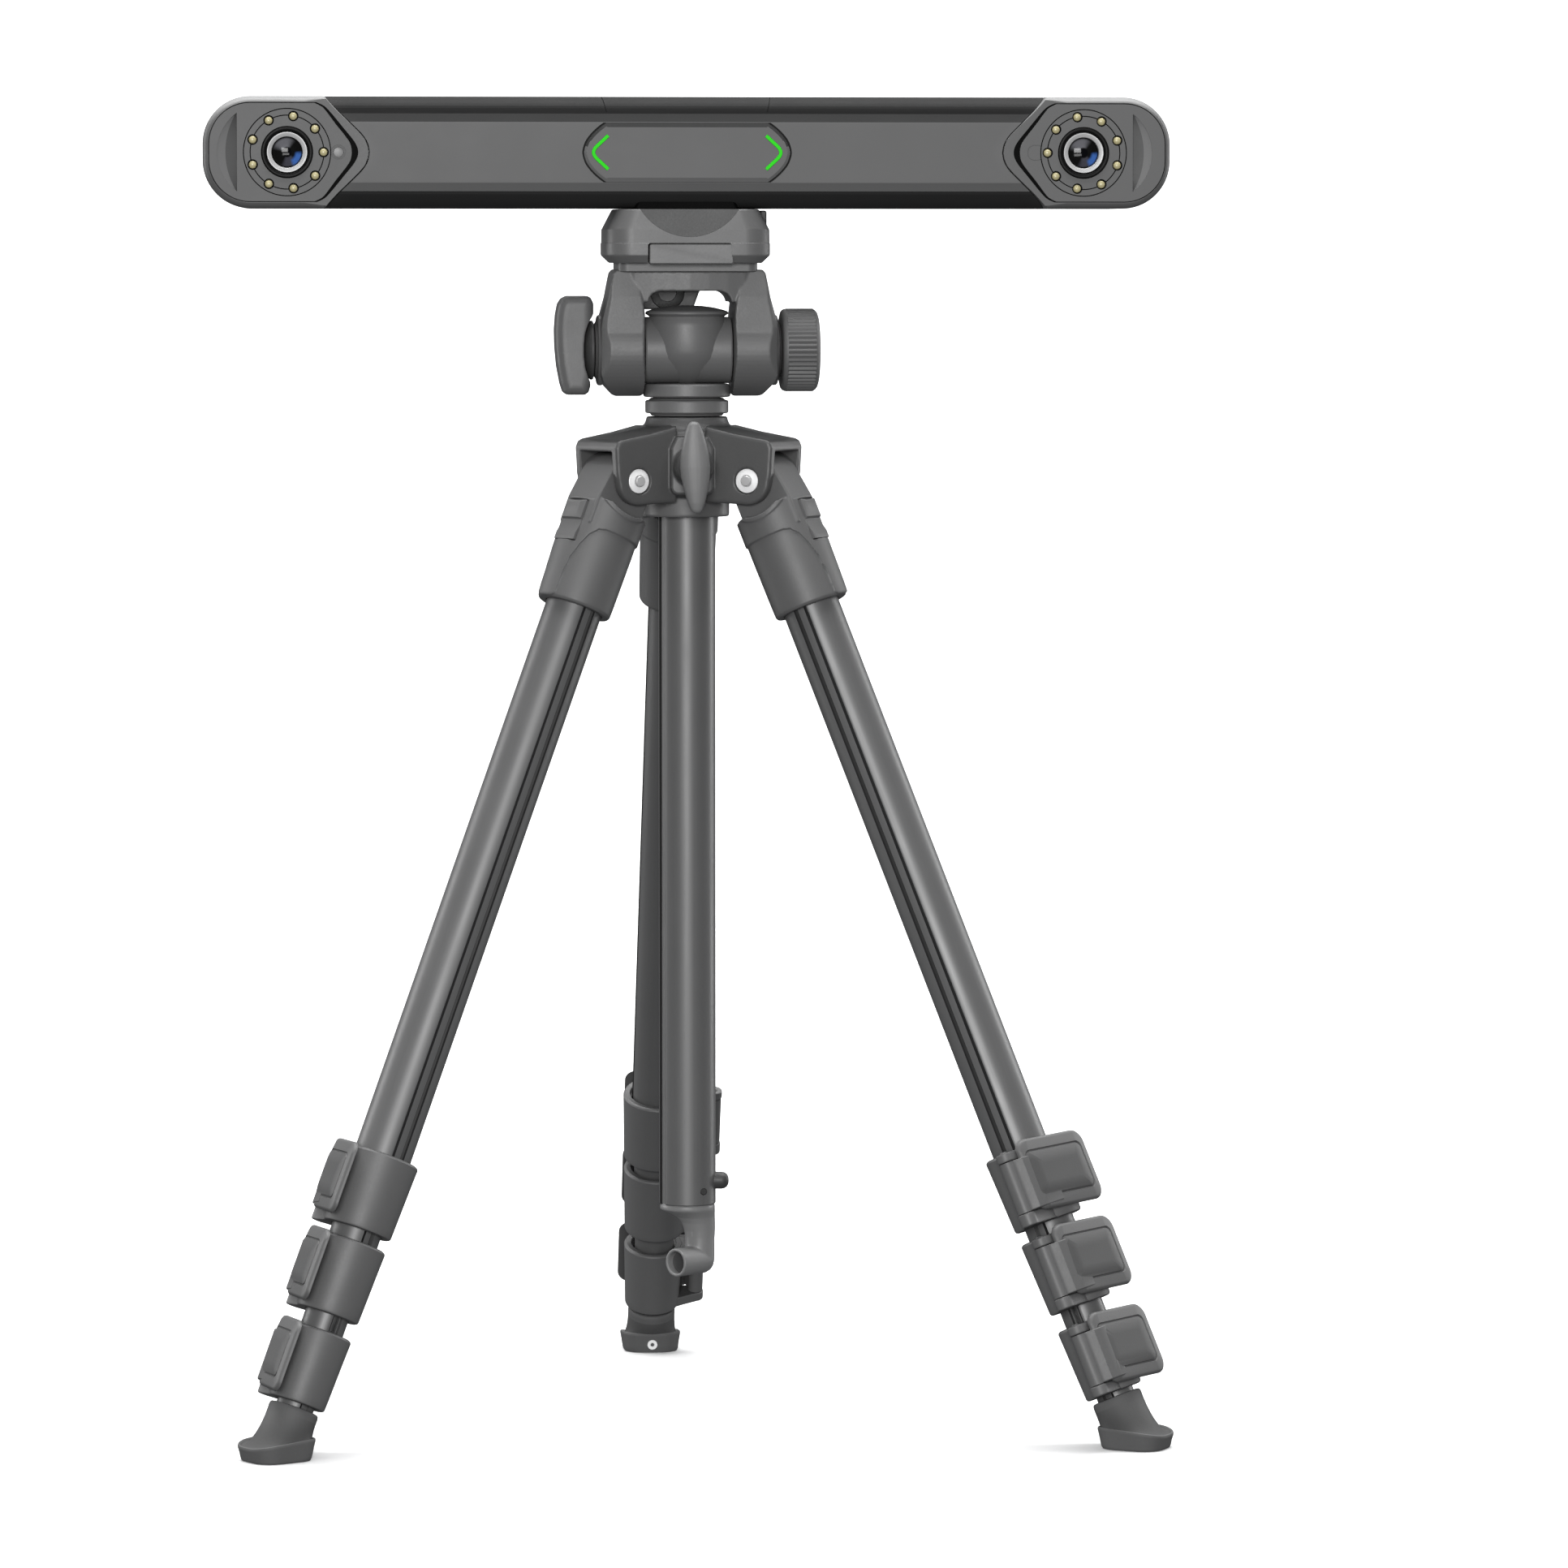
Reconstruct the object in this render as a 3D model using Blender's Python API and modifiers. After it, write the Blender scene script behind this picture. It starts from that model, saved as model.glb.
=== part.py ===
"""Stereo tracker bar on a tilt head and a folding three-leg tripod.

Millimetres in the constants, metres in the scene, +Z up. The bar lies along X and
looks toward -Y. Every shape is written about the column's axis; the root empty then
moves the whole object so that the feet stand on Z = 0 with the box centred on X and Y.
"""

import math

import bmesh
import bpy
from mathutils import Matrix, Vector

MM = 0.001

# ---- driving dimensions, mm ------------------------------------------------
AXIS_Y = -62.33           # column axis in the object's frame
LIFT = 2.8                # heights below are taken this far above the floor
GAP = 0.3                 # running clearance between neighbours

LEG_ANGLE = 23.15         # leg from the vertical, degrees
PIVOT_R = 43.6            # leg pivot from the column axis
PIVOT_Z = 496.1           # leg pivot, height
LEG_AZ = {"left": 120.0, "right": 240.0, "back": 0.0}

TUBE_R = (15.0, 13.2, 11.5, 9.9)          # outer radii of the four leg tubes
TUBE_IN = (13.5, 11.8, 10.2, 8.4)         # inner radii
TUBE_TOP = (-30.0, -40.0, -45.0, -50.0)   # upper ends, along the leg from the pivot
COLLAR_R = (19.0, 17.4, 15.8)             # clamp collars, at mid height
COLLAR_TAPER = 0.7                        # radius gained at the top, lost at the bottom
COLLAR_TOP = (-377.1, -424.1, -472.9)
COLLAR_H = 38.2
TUBE4_END = -528.5
FOOT_TOP = -514.3
LEVER_H = ((31.0, 3.6), (27.0, 3.6), (24.6, 3.6))   # lever hinges, across the leg
LEVER_TURN = 18.4                         # how the closed lever lies round the collar, degrees
LUG = 5.0                                 # lug thickness

COLUMN_R, COLUMN_IN = 15.0, 13.0
COLUMN_Z0, COLUMN_Z1 = 111.6, 529.1
CROWN_Z0, CROWN_Z1 = 476.5, 529.1

TILT_Z = 564.0
ARM_IN, ARM_OUT = 22.3, 46.5
BAR_Z = 667.5
BAR_HALF = 254.0
BAR_H = 29.25             # half height
BAR_F, BAR_B = -28.0, 28.0
LENS_X = 208.7

TUBE_SEGS = 16


# ---- scene -----------------------------------------------------------------
for old in list(bpy.data.objects):
    bpy.data.objects.remove(old, do_unlink=True)

parts = bpy.data.collections.new("stereo_tracker_tripod")
axes = bpy.data.collections.new("joint_axes")
work = bpy.data.collections.new("cutters")
for c in (parts, axes, work):
    bpy.context.scene.collection.children.link(c)


def material(name, rgb, rough, metal=0.0, glow=0.0):
    m = bpy.data.materials.new(name)
    m.use_nodes = True
    b = m.node_tree.nodes["Principled BSDF"]
    b.inputs["Base Color"].default_value = (*rgb, 1.0)
    b.inputs["Roughness"].default_value = rough
    b.inputs["Metallic"].default_value = metal
    if glow:
        b.inputs["Emission Color"].default_value = (*rgb, 1.0)
        b.inputs["Emission Strength"].default_value = glow
    return m


# ---- helpers ---------------------------------------------------------------
def settle(obj):
    """Evaluate the modifiers (or the curve) and keep the welded mesh."""
    bpy.context.view_layer.update()
    dg = bpy.context.evaluated_depsgraph_get()
    mesh = bpy.data.meshes.new_from_object(obj.evaluated_get(dg))
    bm = bmesh.new()
    bm.from_mesh(mesh)
    bmesh.ops.remove_doubles(bm, verts=bm.verts, dist=2e-6)
    bmesh.ops.recalc_face_normals(bm, faces=bm.faces)
    bm.to_mesh(mesh)
    bm.free()
    if obj.type == "CURVE":
        new = bpy.data.objects.new(obj.name + "_m", mesh)
        work.objects.link(new)
        new.matrix_world = obj.matrix_world.copy()
        bpy.data.objects.remove(obj, do_unlink=True)
        return new
    obj.modifiers.clear()
    obj.data = mesh
    return obj


def hold(name, bm):
    mesh = bpy.data.meshes.new(name)
    bm.to_mesh(mesh)
    bm.free()
    obj = bpy.data.objects.new(name, mesh)
    work.objects.link(obj)
    return obj


def box(x0, x1, y0, y1, z0, z1):
    bm = bmesh.new()
    bmesh.ops.create_cube(bm, size=1.0)
    bmesh.ops.scale(bm, vec=Vector(((x1 - x0) * MM, (y1 - y0) * MM, (z1 - z0) * MM)), verts=bm.verts)
    bmesh.ops.translate(bm, vec=Vector(((x0 + x1) / 2 * MM, (y0 + y1) / 2 * MM, (z0 + z1) / 2 * MM)), verts=bm.verts)
    return hold("box", bm)


def rod(p0, p1, r, segs=16, r2=None):
    """Cylinder (or cone) from p0 to p1."""
    a, b = Vector(p0), Vector(p1)
    d = b - a
    bm = bmesh.new()
    bmesh.ops.create_cone(bm, cap_ends=True, cap_tris=False, segments=segs,
                          radius1=r * MM, radius2=(r if r2 is None else r2) * MM, depth=d.length * MM)
    turn = Vector((0, 0, 1)).rotation_difference(d.normalized()).to_matrix().to_4x4()
    bm.transform(Matrix.Translation((a + b) / 2 * MM) @ turn)
    return hold("rod", bm)


def turned(pts, segs, spin=None):
    """Closed (r, z) profile swept once round Z with a Screw modifier, then placed by spin."""
    bm = bmesh.new()
    vs = [bm.verts.new((r * MM, 0, z * MM)) for r, z in pts]
    for a, b in zip(vs, vs[1:] + vs[:1]):
        if not (a.co.x < 1e-9 and b.co.x < 1e-9):
            bm.edges.new((a, b))
    obj = hold("turned", bm)
    s = obj.modifiers.new("turn", "SCREW")
    s.axis = "Z"
    s.angle = math.tau
    s.steps = s.render_steps = segs
    s.use_merge_vertices = True
    s.merge_threshold = 0.00001
    settle(obj)
    if spin is not None:
        obj.data.transform(spin)
    return obj


def flat(pts, t0, t1, plane):
    """2D outline filled and extruded from t0 to t1 across its plane."""
    cu = bpy.data.curves.new("outline", "CURVE")
    cu.dimensions = "2D"
    cu.fill_mode = "BOTH"
    cu.extrude = abs(t1 - t0) / 2 * MM
    sp = cu.splines.new("POLY")
    sp.points.add(len(pts) - 1)
    for p, (u, v) in zip(sp.points, pts):
        p.co = (u * MM, v * MM, 0, 1)
    sp.use_cyclic_u = True
    obj = bpy.data.objects.new("outline", cu)
    work.objects.link(obj)
    obj = settle(obj)
    mid = (t0 + t1) / 2 * MM
    if plane == "XZ":
        m = Matrix(((1, 0, 0, 0), (0, 0, -1, mid), (0, 1, 0, 0), (0, 0, 0, 1)))
    elif plane == "YZ":
        m = Matrix(((0, 0, 1, mid), (1, 0, 0, 0), (0, 1, 0, 0), (0, 0, 0, 1)))
    else:
        m = Matrix.Translation((0, 0, mid))
    obj.data.transform(m)
    return obj


def arc(cx, cy, r, a0, a1, n):
    return [(cx + r * math.cos(math.radians(a0 + (a1 - a0) * i / n)),
             cy + r * math.sin(math.radians(a0 + (a1 - a0) * i / n))) for i in range(n + 1)]


def combine(obj, other, how):
    """One Boolean, settled at once; the other operand is used up."""
    other.hide_render = True
    other.display_type = "WIRE"
    m = obj.modifiers.new(how.lower(), "BOOLEAN")
    m.operation = how
    m.solver = "EXACT"
    m.object = other
    settle(obj)
    bpy.data.objects.remove(other, do_unlink=True)
    return obj


def together(objs):
    """Several solids that stay clear of each other, as one operand."""
    bm = bmesh.new()
    for o in objs:
        bm.from_mesh(o.data)
        bpy.data.objects.remove(o, do_unlink=True)
    return hold("together", bm)


def join(obj, *others):
    for o in others:
        combine(obj, o, "UNION")
    return obj


def cut(obj, *others):
    for o in others:
        combine(obj, o, "DIFFERENCE")
    return obj


def bevel(obj, width, segs=1, angle=40):
    m = obj.modifiers.new("edge", "BEVEL")
    m.width = width * MM
    m.segments = segs
    m.limit_method = "ANGLE"
    m.angle_limit = math.radians(angle)
    m.use_clamp_overlap = True
    return settle(obj)


def moved(obj, m):
    obj.data.transform(m)
    return obj


def axis(name, pos, rot=(0, 0, 0), parent=None):
    e = bpy.data.objects.new(name, None)
    e.empty_display_size = 0.02
    axes.objects.link(e)
    e.location = Vector(pos) * MM
    e.rotation_euler = [math.radians(a) for a in rot]
    e.parent = parent
    return e


def part(name, obj, mat, parent, at=(0, 0, 0), smooth=True):
    """Name the piece, give it its own material and hang it on its joint's empty."""
    obj.name = name
    obj.data.name = name
    work.objects.unlink(obj)
    parts.objects.link(obj)
    mine = mat.copy()
    mine.name = "m_" + name
    obj.data.materials.clear()
    obj.data.materials.append(mine)
    if smooth:
        obj.data.shade_smooth()
        obj.data.set_sharp_from_angle(angle=math.radians(35))
    obj.parent = parent
    obj.location = Vector(at) * MM
    return obj


def twin(name, src, mat, parent, at=(0, 0, 0)):
    """A second object on the same shape, with a material of its own."""
    o = bpy.data.objects.new(name, src.data.copy())
    work.objects.link(o)
    return part(name, o, mat, parent, at)


# ---- materials -------------------------------------------------------------
HOUSING = material("housing", (0.060, 0.060, 0.062), 0.42)
CAP = material("cap", (0.095, 0.095, 0.097), 0.45)
COVER = material("cover", (0.075, 0.075, 0.077), 0.5)
CAST = material("casting", (0.105, 0.105, 0.107), 0.48)
TUBE = material("tube", (0.16, 0.16, 0.163), 0.34, 0.7)
KNOB = material("knob", (0.085, 0.085, 0.087), 0.55)
RUBBER = material("rubber", (0.07, 0.07, 0.072), 0.8)
STEEL = material("steel", (0.62, 0.62, 0.63), 0.25, 1.0)
GLASS = material("lens", (0.03, 0.035, 0.05), 0.08)
LED = material("led", (0.62, 0.55, 0.33), 0.35)
LIGHT = material("light", (0.06, 0.75, 0.03), 0.4, 0.0, 1.5)
BOARD = material("board", (0.02, 0.16, 0.06), 0.5)
BEAM = material("beam", (0.35, 0.35, 0.36), 0.4, 0.9)
BLACK = material("black", (0.02, 0.02, 0.021), 0.5)

# ---- joint axes ------------------------------------------------------------
root = axis("object_root", (0, AXIS_Y, LIFT))
column_axis = axis("column_slide_axis", (0, 0, 0), parent=root)
lock_axis = axis("column_lock_axis", (0, 0, 503.7), parent=root)
pan_axis = axis("pan_axis", (0, 0, 0), parent=column_axis)
panlock_axis = axis("pan_lock_axis", (0, 0, 547.5), parent=pan_axis)
tilt_axis = axis("tilt_axis", (0, 0, TILT_Z), parent=pan_axis)
TILT_AT = (0, 0, -TILT_Z)
leg_axis = {}
for side, az in LEG_AZ.items():
    out = Vector((-math.sin(math.radians(az)), math.cos(math.radians(az)), 0))
    p = out * PIVOT_R
    leg_axis[side] = axis(side + "_leg_pivot_axis", (p.x, p.y, PIVOT_Z), (LEG_ANGLE, 0, az), parent=root)


# ---- tripod: crown, column, hook -------------------------------------------
def build_crown():
    hub = turned([(15.3, CROWN_Z1), (22.7, CROWN_Z1), (24.6, 524), (27.0, 518), (27.0, 488),
                  (22.4, 487), (22.4, CROWN_Z0), (15.3, CROWN_Z0)], 20)
    pz, pr = PIVOT_Z, PIVOT_R
    side = ([(pr - 24, pz - 11.5), (pr - 8, pz - 12.2)] + arc(pr, pz, 12.8, 262, 352, 4)
            + [(pr + 14.0, pz + 4), (pr + 14.8, pz + 18.5), (pr + 12.0, pz + 21.5),
               (pr - 8, pz + 25), (pr - 24, pz + 28.5)])
    slot = [(pr - 16, pz - 30), (pr + 40, pz - 30), (pr + 40, pz + 15.5), (pr - 12, pz + 15.5), (pr - 16, pz + 12)]
    for az in LEG_AZ.values():
        turn = Matrix.Rotation(math.radians(az), 4, "Z")
        arm = flat(side, -20, 20, "YZ")
        cut(arm, flat(slot, -14.7, 14.7, "YZ"))
        cut(arm, turned([(0, 30), (6.7, 30), (6.7, 18.3), (4.4, 18.3), (4.4, -18.3), (6.7, -18.3), (6.7, -30), (0, -30)], 12,
                        Matrix.Translation((0, pr * MM, pz * MM)) @ Matrix.Rotation(math.pi / 2, 4, "Y")))
        join(hub, moved(arm, turn))
    boss = flat([(-11.4, 489), (11.4, 489), (11.4, 515), (7.5, 519), (-7.5, 519), (-11.4, 515)], -36, -20, "XZ")
    join(hub, boss, rod((0, -34, 503.7), (0, -39.8, 503.7), 10.6, 14))
    cut(hub, rod((0, 0, 503.7), (0, -45, 503.7), 4.35, 12))
    return hub


part("leg_crown", build_crown(), CAST, root)

column = turned([(COLUMN_IN, COLUMN_Z1), (COLUMN_R, COLUMN_Z1), (COLUMN_R, COLUMN_Z0), (COLUMN_IN, COLUMN_Z0)], 24)
groove = rod((-14.0, -7.2, COLUMN_Z0 - 5), (-14.0, -7.2, COLUMN_Z1 + 5), 1.3, 6)
cut(column, groove)
part("center_column", column, TUBE, column_axis)


def build_hook():
    plug = turned([(0, 150), (12.6, 150), (12.6, COLUMN_Z0 - 0.3), (14.6, COLUMN_Z0 - 0.3), (14.6, 108), (13.6, 105.5), (0, 105.5)], 20)
    join(plug, rod((2.2, 0, 107), (5.6, 0, 92.5), 12.2, 16, 8.6))
    cu = bpy.data.curves.new("horn", "CURVE")
    cu.dimensions = "3D"
    cu.bevel_depth = 7.8 * MM
    cu.bevel_resolution = 2
    cu.use_fill_caps = True
    pts = [(6.5, 0, 110), (6.5, 0, 93), (6.1, -0.6, 86.0), (4.2, -2.8, 81.0), (0.5, -6.3, 78.6), (-7.5, -13.3, 78.6)]
    sp = cu.splines.new("POLY")
    sp.points.add(len(pts) - 1)
    for p, (x, y, z) in zip(sp.points, pts):
        p.co = (x * MM, y * MM, z * MM, 1)
    o = bpy.data.objects.new("horn", cu)
    work.objects.link(o)
    return join(plug, settle(o))


part("column_hook", build_hook(), CAST, column_axis)

# wing knob that clamps the column
wing = flat(arc(0, 503.7 + 15.5, 6.7, -10, 190, 6) + [(-5.2, 503.7)] + arc(0, 503.7 - 15.5, 6.7, 170, 370, 6) + [(5.2, 503.7)],
            -58, -46.0, "XZ")
bevel(wing, 2.0, 1)
knob = join(wing, turned([(0, 29), (10.4, 26), (10.4, -22.5 + 40.2 + 0.0), (4.0, 17.7), (4.0, -6), (0, -6)], 16,
                         Matrix.Translation((0, -22.4 * MM, 503.7 * MM)) @ Matrix.Rotation(math.pi / 2, 4, "X")))
part("column_lock_knob", knob, KNOB, lock_axis, at=(0, 0, -503.7))

# ---- head -------------------------------------------------------------------
part("pan_base", turned([(0, 545.4), (6.0, 545.4), (6.0, 538.9), (20.2, 538.9), (21.3, 537.4), (21.3, 531.2), (20.6, 529.4),
                         (12.6, 529.4), (12.6, 505), (0, 505)], 24), CAST, column_axis)


def build_pan_body():
    b = turned([(0, 587.0), (9, 586.6), (16, 585), (20.4, 581.6), (20.4, 579.6), (21.8, 579.0), (21.8, 546.0),
                (20.9, 545.0), (21.6, 544.2), (21.6, 539.2), (6.4, 539.2), (6.4, 546.0), (0, 546.0)], 20)
    join(b, rod((-21.9, 0, TILT_Z), (21.9, 0, TILT_Z), 17.5, 20))
    join(b, rod((-6, 10.4, 547.5), (-13.6, 23.6, 547.5), 5.2, 12))
    cut(b, rod((-40, 0, TILT_Z), (40, 0, TILT_Z), 6.4, 16))
    cut(b, rod((-5, 8.66, 547.5), (-20, 34.64, 547.5), 2.9, 10))
    return b


part("pan_body", build_pan_body(), CAST, pan_axis)
pk = turned([(0, 40), (7.0, 40), (8.0, 38.5), (8.0, 28.5), (6, 27.6), (2.5, 27.6), (2.5, 14), (0, 14)], 14,
            Matrix.Translation((0, 0, 547.5 * MM)) @ Matrix.Rotation(math.radians(30), 4, "Z") @ Matrix.Rotation(-math.pi / 2, 4, "X"))
part("pan_lock_knob", pk, KNOB, panlock_axis, at=(0, 0, -547.5))

part("tilt_shaft", rod((-56, 0, TILT_Z), (56, 0, TILT_Z), 6.0, 16), STEEL, tilt_axis, at=TILT_AT)


def build_fork():
    z = TILT_Z
    front = ([(-39.5, 605), (-42.5, 592), (-46.5, 577), (-46.5, 549), (-39, 539.7), (-ARM_IN, 539.7), (-ARM_IN, 584)]
             + arc(-ARM_IN + 10, 584.6, 10, 180, 90, 4)
             + arc(ARM_IN - 10, 584.6, 10, 90, 0, 4)
             + [(ARM_IN, 584), (ARM_IN, 539.7), (39, 539.7), (46.5, 549), (46.5, 577), (42.5, 592), (39.5, 605)])
    f = flat(front, -30, 30, "XZ")
    prof = [(-20.5, 606), (-20.5, 588)] + arc(0, z, 24.2, 165, 375, 12) + [(20.5, 588), (20.5, 606)]
    combine(f, flat(prof, -60, 60, "YZ"), "INTERSECT")
    join(f, rod((-45.5, 0, z), (-48.6, 0, z), 18.5, 20, 16.5), rod((45.5, 0, z), (48.6, 0, z), 18.5, 20, 16.5))
    join(f, box(-23.5, 8, 12.6, 19, 588.9, 599))
    cut(f, rod((-60, 0, z), (60, 0, z), 6.4, 16))
    return f


part("tilt_fork", build_fork(), CAST, tilt_axis, at=TILT_AT)


def build_platform():
    w = 44.0
    p = flat([(-38.6, 638), (-w, 627.5), (-w, 613.5), (-40, 609.7), (40, 609.7), (w, 613.5), (w, 627.5), (38.6, 638)], -32, 32, "XZ")
    plan = (arc(w - 14, 18, 14, 0, 90, 4) + arc(14 - w, 18, 14, 90, 180, 4)
            + arc(14 - w, -18, 14, 180, 270, 4) + arc(w - 14, -18, 14, 270, 360, 4))
    combine(p, flat(plan, 600, 650, "XY"), "INTERSECT")
    join(p, box(39.4, 43.0, -12, 12, 620, 637.4))
    join(p, box(-37.7, 37.7, -22, 22, 605.3, 612))
    cut(p, rod((0, -60, 638 + 16.8), (0, -28.5, 638 + 16.8), 31.4, 24))
    cut(p, box(-22.6, 22.6, -40, -19, 609.0 - 5, 619.4))
    return p


part("head_platform", build_platform(), CAST, tilt_axis, at=TILT_AT)
btn = bevel(box(-22.2, 22.2, -31.4, -23.0, 610.2, 619.0), 0.6, 1)
part("plate_release_button", btn, KNOB, tilt_axis, at=TILT_AT)

lk = flat([(-49.6, 589), (-52, 592.4), (-64, 592.4), (-68.8, 588), (-70.6, 574), (-69.4, 558), (-66.0, 543), (-64, 539.7),
           (-53.5, 539.7), (-51.6, 548), (-49.6, 552)], -12, 12, "XZ")
bevel(lk, 2.2, 1)
join(lk, rod((-49.3, 0, TILT_Z), (-56, 0, TILT_Z), 15.2, 20, 13))
cut(lk, rod((-40, 0, TILT_Z), (-57, 0, TILT_Z), 6.4, 16))
part("tilt_lock_knob", lk, KNOB, tilt_axis, at=TILT_AT)

dk = turned([(0, 68.8), (17.5, 68.8), (20.6, 67.0), (21.85, 64.0), (21.85, 51.5), (20.2, 49.3), (6.4, 49.3), (6.4, 57), (0, 57)], 24,
            Matrix.Translation((0, 0, TILT_Z * MM)) @ Matrix.Rotation(math.pi / 2, 4, "Y"))
part("tilt_drag_knob", dk, KNOB, tilt_axis, at=TILT_AT)

# ---- tracker bar --------------------------------------------------------------
CHEV = [(189.0, 40.0), (189.0, BAR_H), (182.5, 20.5), (174.5, 13.0), (168.0, 6.5), (166.5, 0.0),
        (168.0, -6.5), (174.5, -13.0), (182.5, -20.5), (189.0, -BAR_H), (189.0, -40.0)]


def end_region(s, grow):
    """The end of the bar beyond the chevron seam, as an XZ outline."""
    pts = [(s * (x - grow), BAR_Z + z) for x, z in CHEV] + [(s * 300, BAR_Z - 40), (s * 300, BAR_Z + 40)]
    return pts if s > 0 else pts[::-1]


def build_housing():
    h, f = BAR_H, BAR_F
    top = [(22.0, h), (-16.0, h), (-20.5, h - 1.0), (-24.2, h - 4.0), (-26.6, h - 8.5), (f, h - 13.6)]
    outer = top + [(y, -z) for y, z in top[::-1]]
    inner = [(22.0, h - 3), (-15.0, h - 3), (-20.0, h - 4.8), (-22.8, h - 8.5), (-24.0, h - 13.6)]
    inner = inner + [(y, -z) for y, z in inner[::-1]]
    ring = [(y, BAR_Z + z) for y, z in outer + inner[::-1]]
    b = flat(ring, -200, 200, "YZ")
    for s in (-1, 1):
        cut(b, flat(end_region(s, GAP / 2), -60, 60, "XZ"))
    cut(b, flat(panel_outline(0.35), -40, -26.2, "XZ"))
    cut(b, box(-27.6, 27.6, -40, 18.3, BAR_Z - 40, BAR_Z - h + 7.6))
    return b


def panel_outline(grow):
    tip, flat_x, half = 53.9 + grow, 41.5, 13.65 + grow
    right = [(flat_x, half), (tip - 4.2, 6.0), (tip - 0.8, 2.6), (tip, 0), (tip - 0.8, -2.6), (tip - 4.2, -6.0), (flat_x, -half)]
    left = [(-x, z) for x, z in right[::-1]]
    return [(x, BAR_Z + z) for x, z in right + left]


def chevron_light(s, grow):
    w = 0.85 + grow
    outer = [(41.0 - grow, 8.9 + w), (48.0 + w, 2.6), (48.9 + w, 0), (48.0 + w, -2.6), (41.0 - grow, -8.9 - w)]
    inner = [(41.0 - grow - 0.6, -8.9 + w - 0.9), (48.0 - w - 0.3, -2.2), (48.9 - w - 0.3, 0), (48.0 - w - 0.3, 2.2), (41.0 - grow - 0.6, 8.9 - w + 0.9)]
    pts = [(s * x, BAR_Z + z) for x, z in outer + inner]
    return pts if s > 0 else pts[::-1]


part("tracker_housing", build_housing(), HOUSING, tilt_axis, at=TILT_AT)

pan = flat(panel_outline(0.0), -28.7, -26.5, "XZ")
for s in (-1, 1):
    cut(pan, flat(chevron_light(s, 0.3), -40, -20, "XZ"))
part("center_panel", pan, COVER, tilt_axis, at=TILT_AT)
for s, nm in ((-1, "left"), (1, "right")):
    part(nm + "_status_light", flat(chevron_light(s, 0.0), -28.7, -26.5, "XZ"), LIGHT, tilt_axis, at=TILT_AT)


def build_rear():
    c = flat([(-200, BAR_Z - BAR_H), (200, BAR_Z - BAR_H), (200, BAR_Z + BAR_H), (-200, BAR_Z + BAR_H)], 22.3, BAR_B, "XZ")
    m = [(22.0, BAR_H + 1), (22.0, -BAR_H - 1), (22.3, -BAR_H), (24.6, -BAR_H + 0.9), (26.8, -BAR_H + 2.8), (BAR_B, -BAR_H + 6.0),
         (BAR_B, BAR_H - 6.0), (26.8, BAR_H - 2.8), (24.6, BAR_H - 0.9), (22.3, BAR_H)]
    combine(c, flat([(y, BAR_Z + z) for y, z in m[2:]], -220, 220, "YZ"), "INTERSECT")
    for s in (-1, 1):
        cut(c, flat(end_region(s, GAP / 2), -60, 60, "XZ"))
    cut(c, box(-60, 60, BAR_B - 1.2, BAR_B + 5, BAR_Z - 14, BAR_Z + 14))
    return c


part("tracker_rear_cover", build_rear(), COVER, tilt_axis, at=TILT_AT)


def build_cap():
    """Right-hand camera cap; the left one is its mirror image."""
    r = 20.0
    edge = ([(x + GAP / 2, z) for x, z in CHEV[1:-1]]
            + arc(BAR_HALF - r, -BAR_H + r, r, -90, 0, 6) + arc(BAR_HALF - r, BAR_H - r, r, 0, 90, 6))
    c = flat([(x, BAR_Z + z) for x, z in edge], BAR_F - 0.4, BAR_B, "XZ")
    bevel(c, 2.8, 1, 60)
    w, r2 = 3.4, 17.0
    room = ([(150, BAR_H - w), (150, -BAR_H + w)] + arc(BAR_HALF - w - r2, -BAR_H + w + r2, r2, -90, 0, 4)
            + arc(BAR_HALF - w - r2, BAR_H - w - r2, r2, 0, 90, 4))
    cut(c, flat([(x, BAR_Z + z) for x, z in room], -22.4, 24.0, "XZ"))
    holes = [rod((LENS_X, -40, BAR_Z), (LENS_X, -10, BAR_Z), 13.7, 20)]
    for k in range(9):
        a = math.radians(180 + 40 * k)
        x, z = LENS_X + 19 * math.cos(a), BAR_Z + 19 * math.sin(a)
        holes.append(rod((x, -40, z), (x, -15, z), 2.85, 8))
    return cut(c, together(holes))


cap = build_cap()
mirror = Matrix.Diagonal((-1, 1, 1, 1))


def mirrored(src):
    o = bpy.data.objects.new("mirror", src.data.copy())
    work.objects.link(o)
    o.data.transform(mirror)
    o.data.flip_normals()
    return o


cap_l = mirrored(cap)
part("right_camera_cap", cap, CAP, tilt_axis, at=TILT_AT)
part("left_camera_cap", cap_l, CAP, tilt_axis, at=TILT_AT)


def build_led_ring():
    at = Matrix.Translation((LENS_X * MM, 0, BAR_Z * MM)) @ Matrix.Rotation(math.pi / 2, 4, "X")
    ring = turned([(15.4, 21.9), (22.6, 21.9), (22.6, 20.2), (15.4, 20.2)], 20, at)
    leds = []
    for k in range(9):
        a = math.radians(180 + 40 * k)
        x, z = LENS_X + 19 * math.cos(a), BAR_Z + 19 * math.sin(a)
        leds.append(rod((x, -21, z), (x, -28.7, z), 2.4, 6))
    return join(ring, together(leds))


ring = build_led_ring()
ring_l = mirrored(ring)
part("right_led_ring", ring, LED, tilt_axis, at=TILT_AT)
part("left_led_ring", ring_l, LED, tilt_axis, at=TILT_AT)

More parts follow.
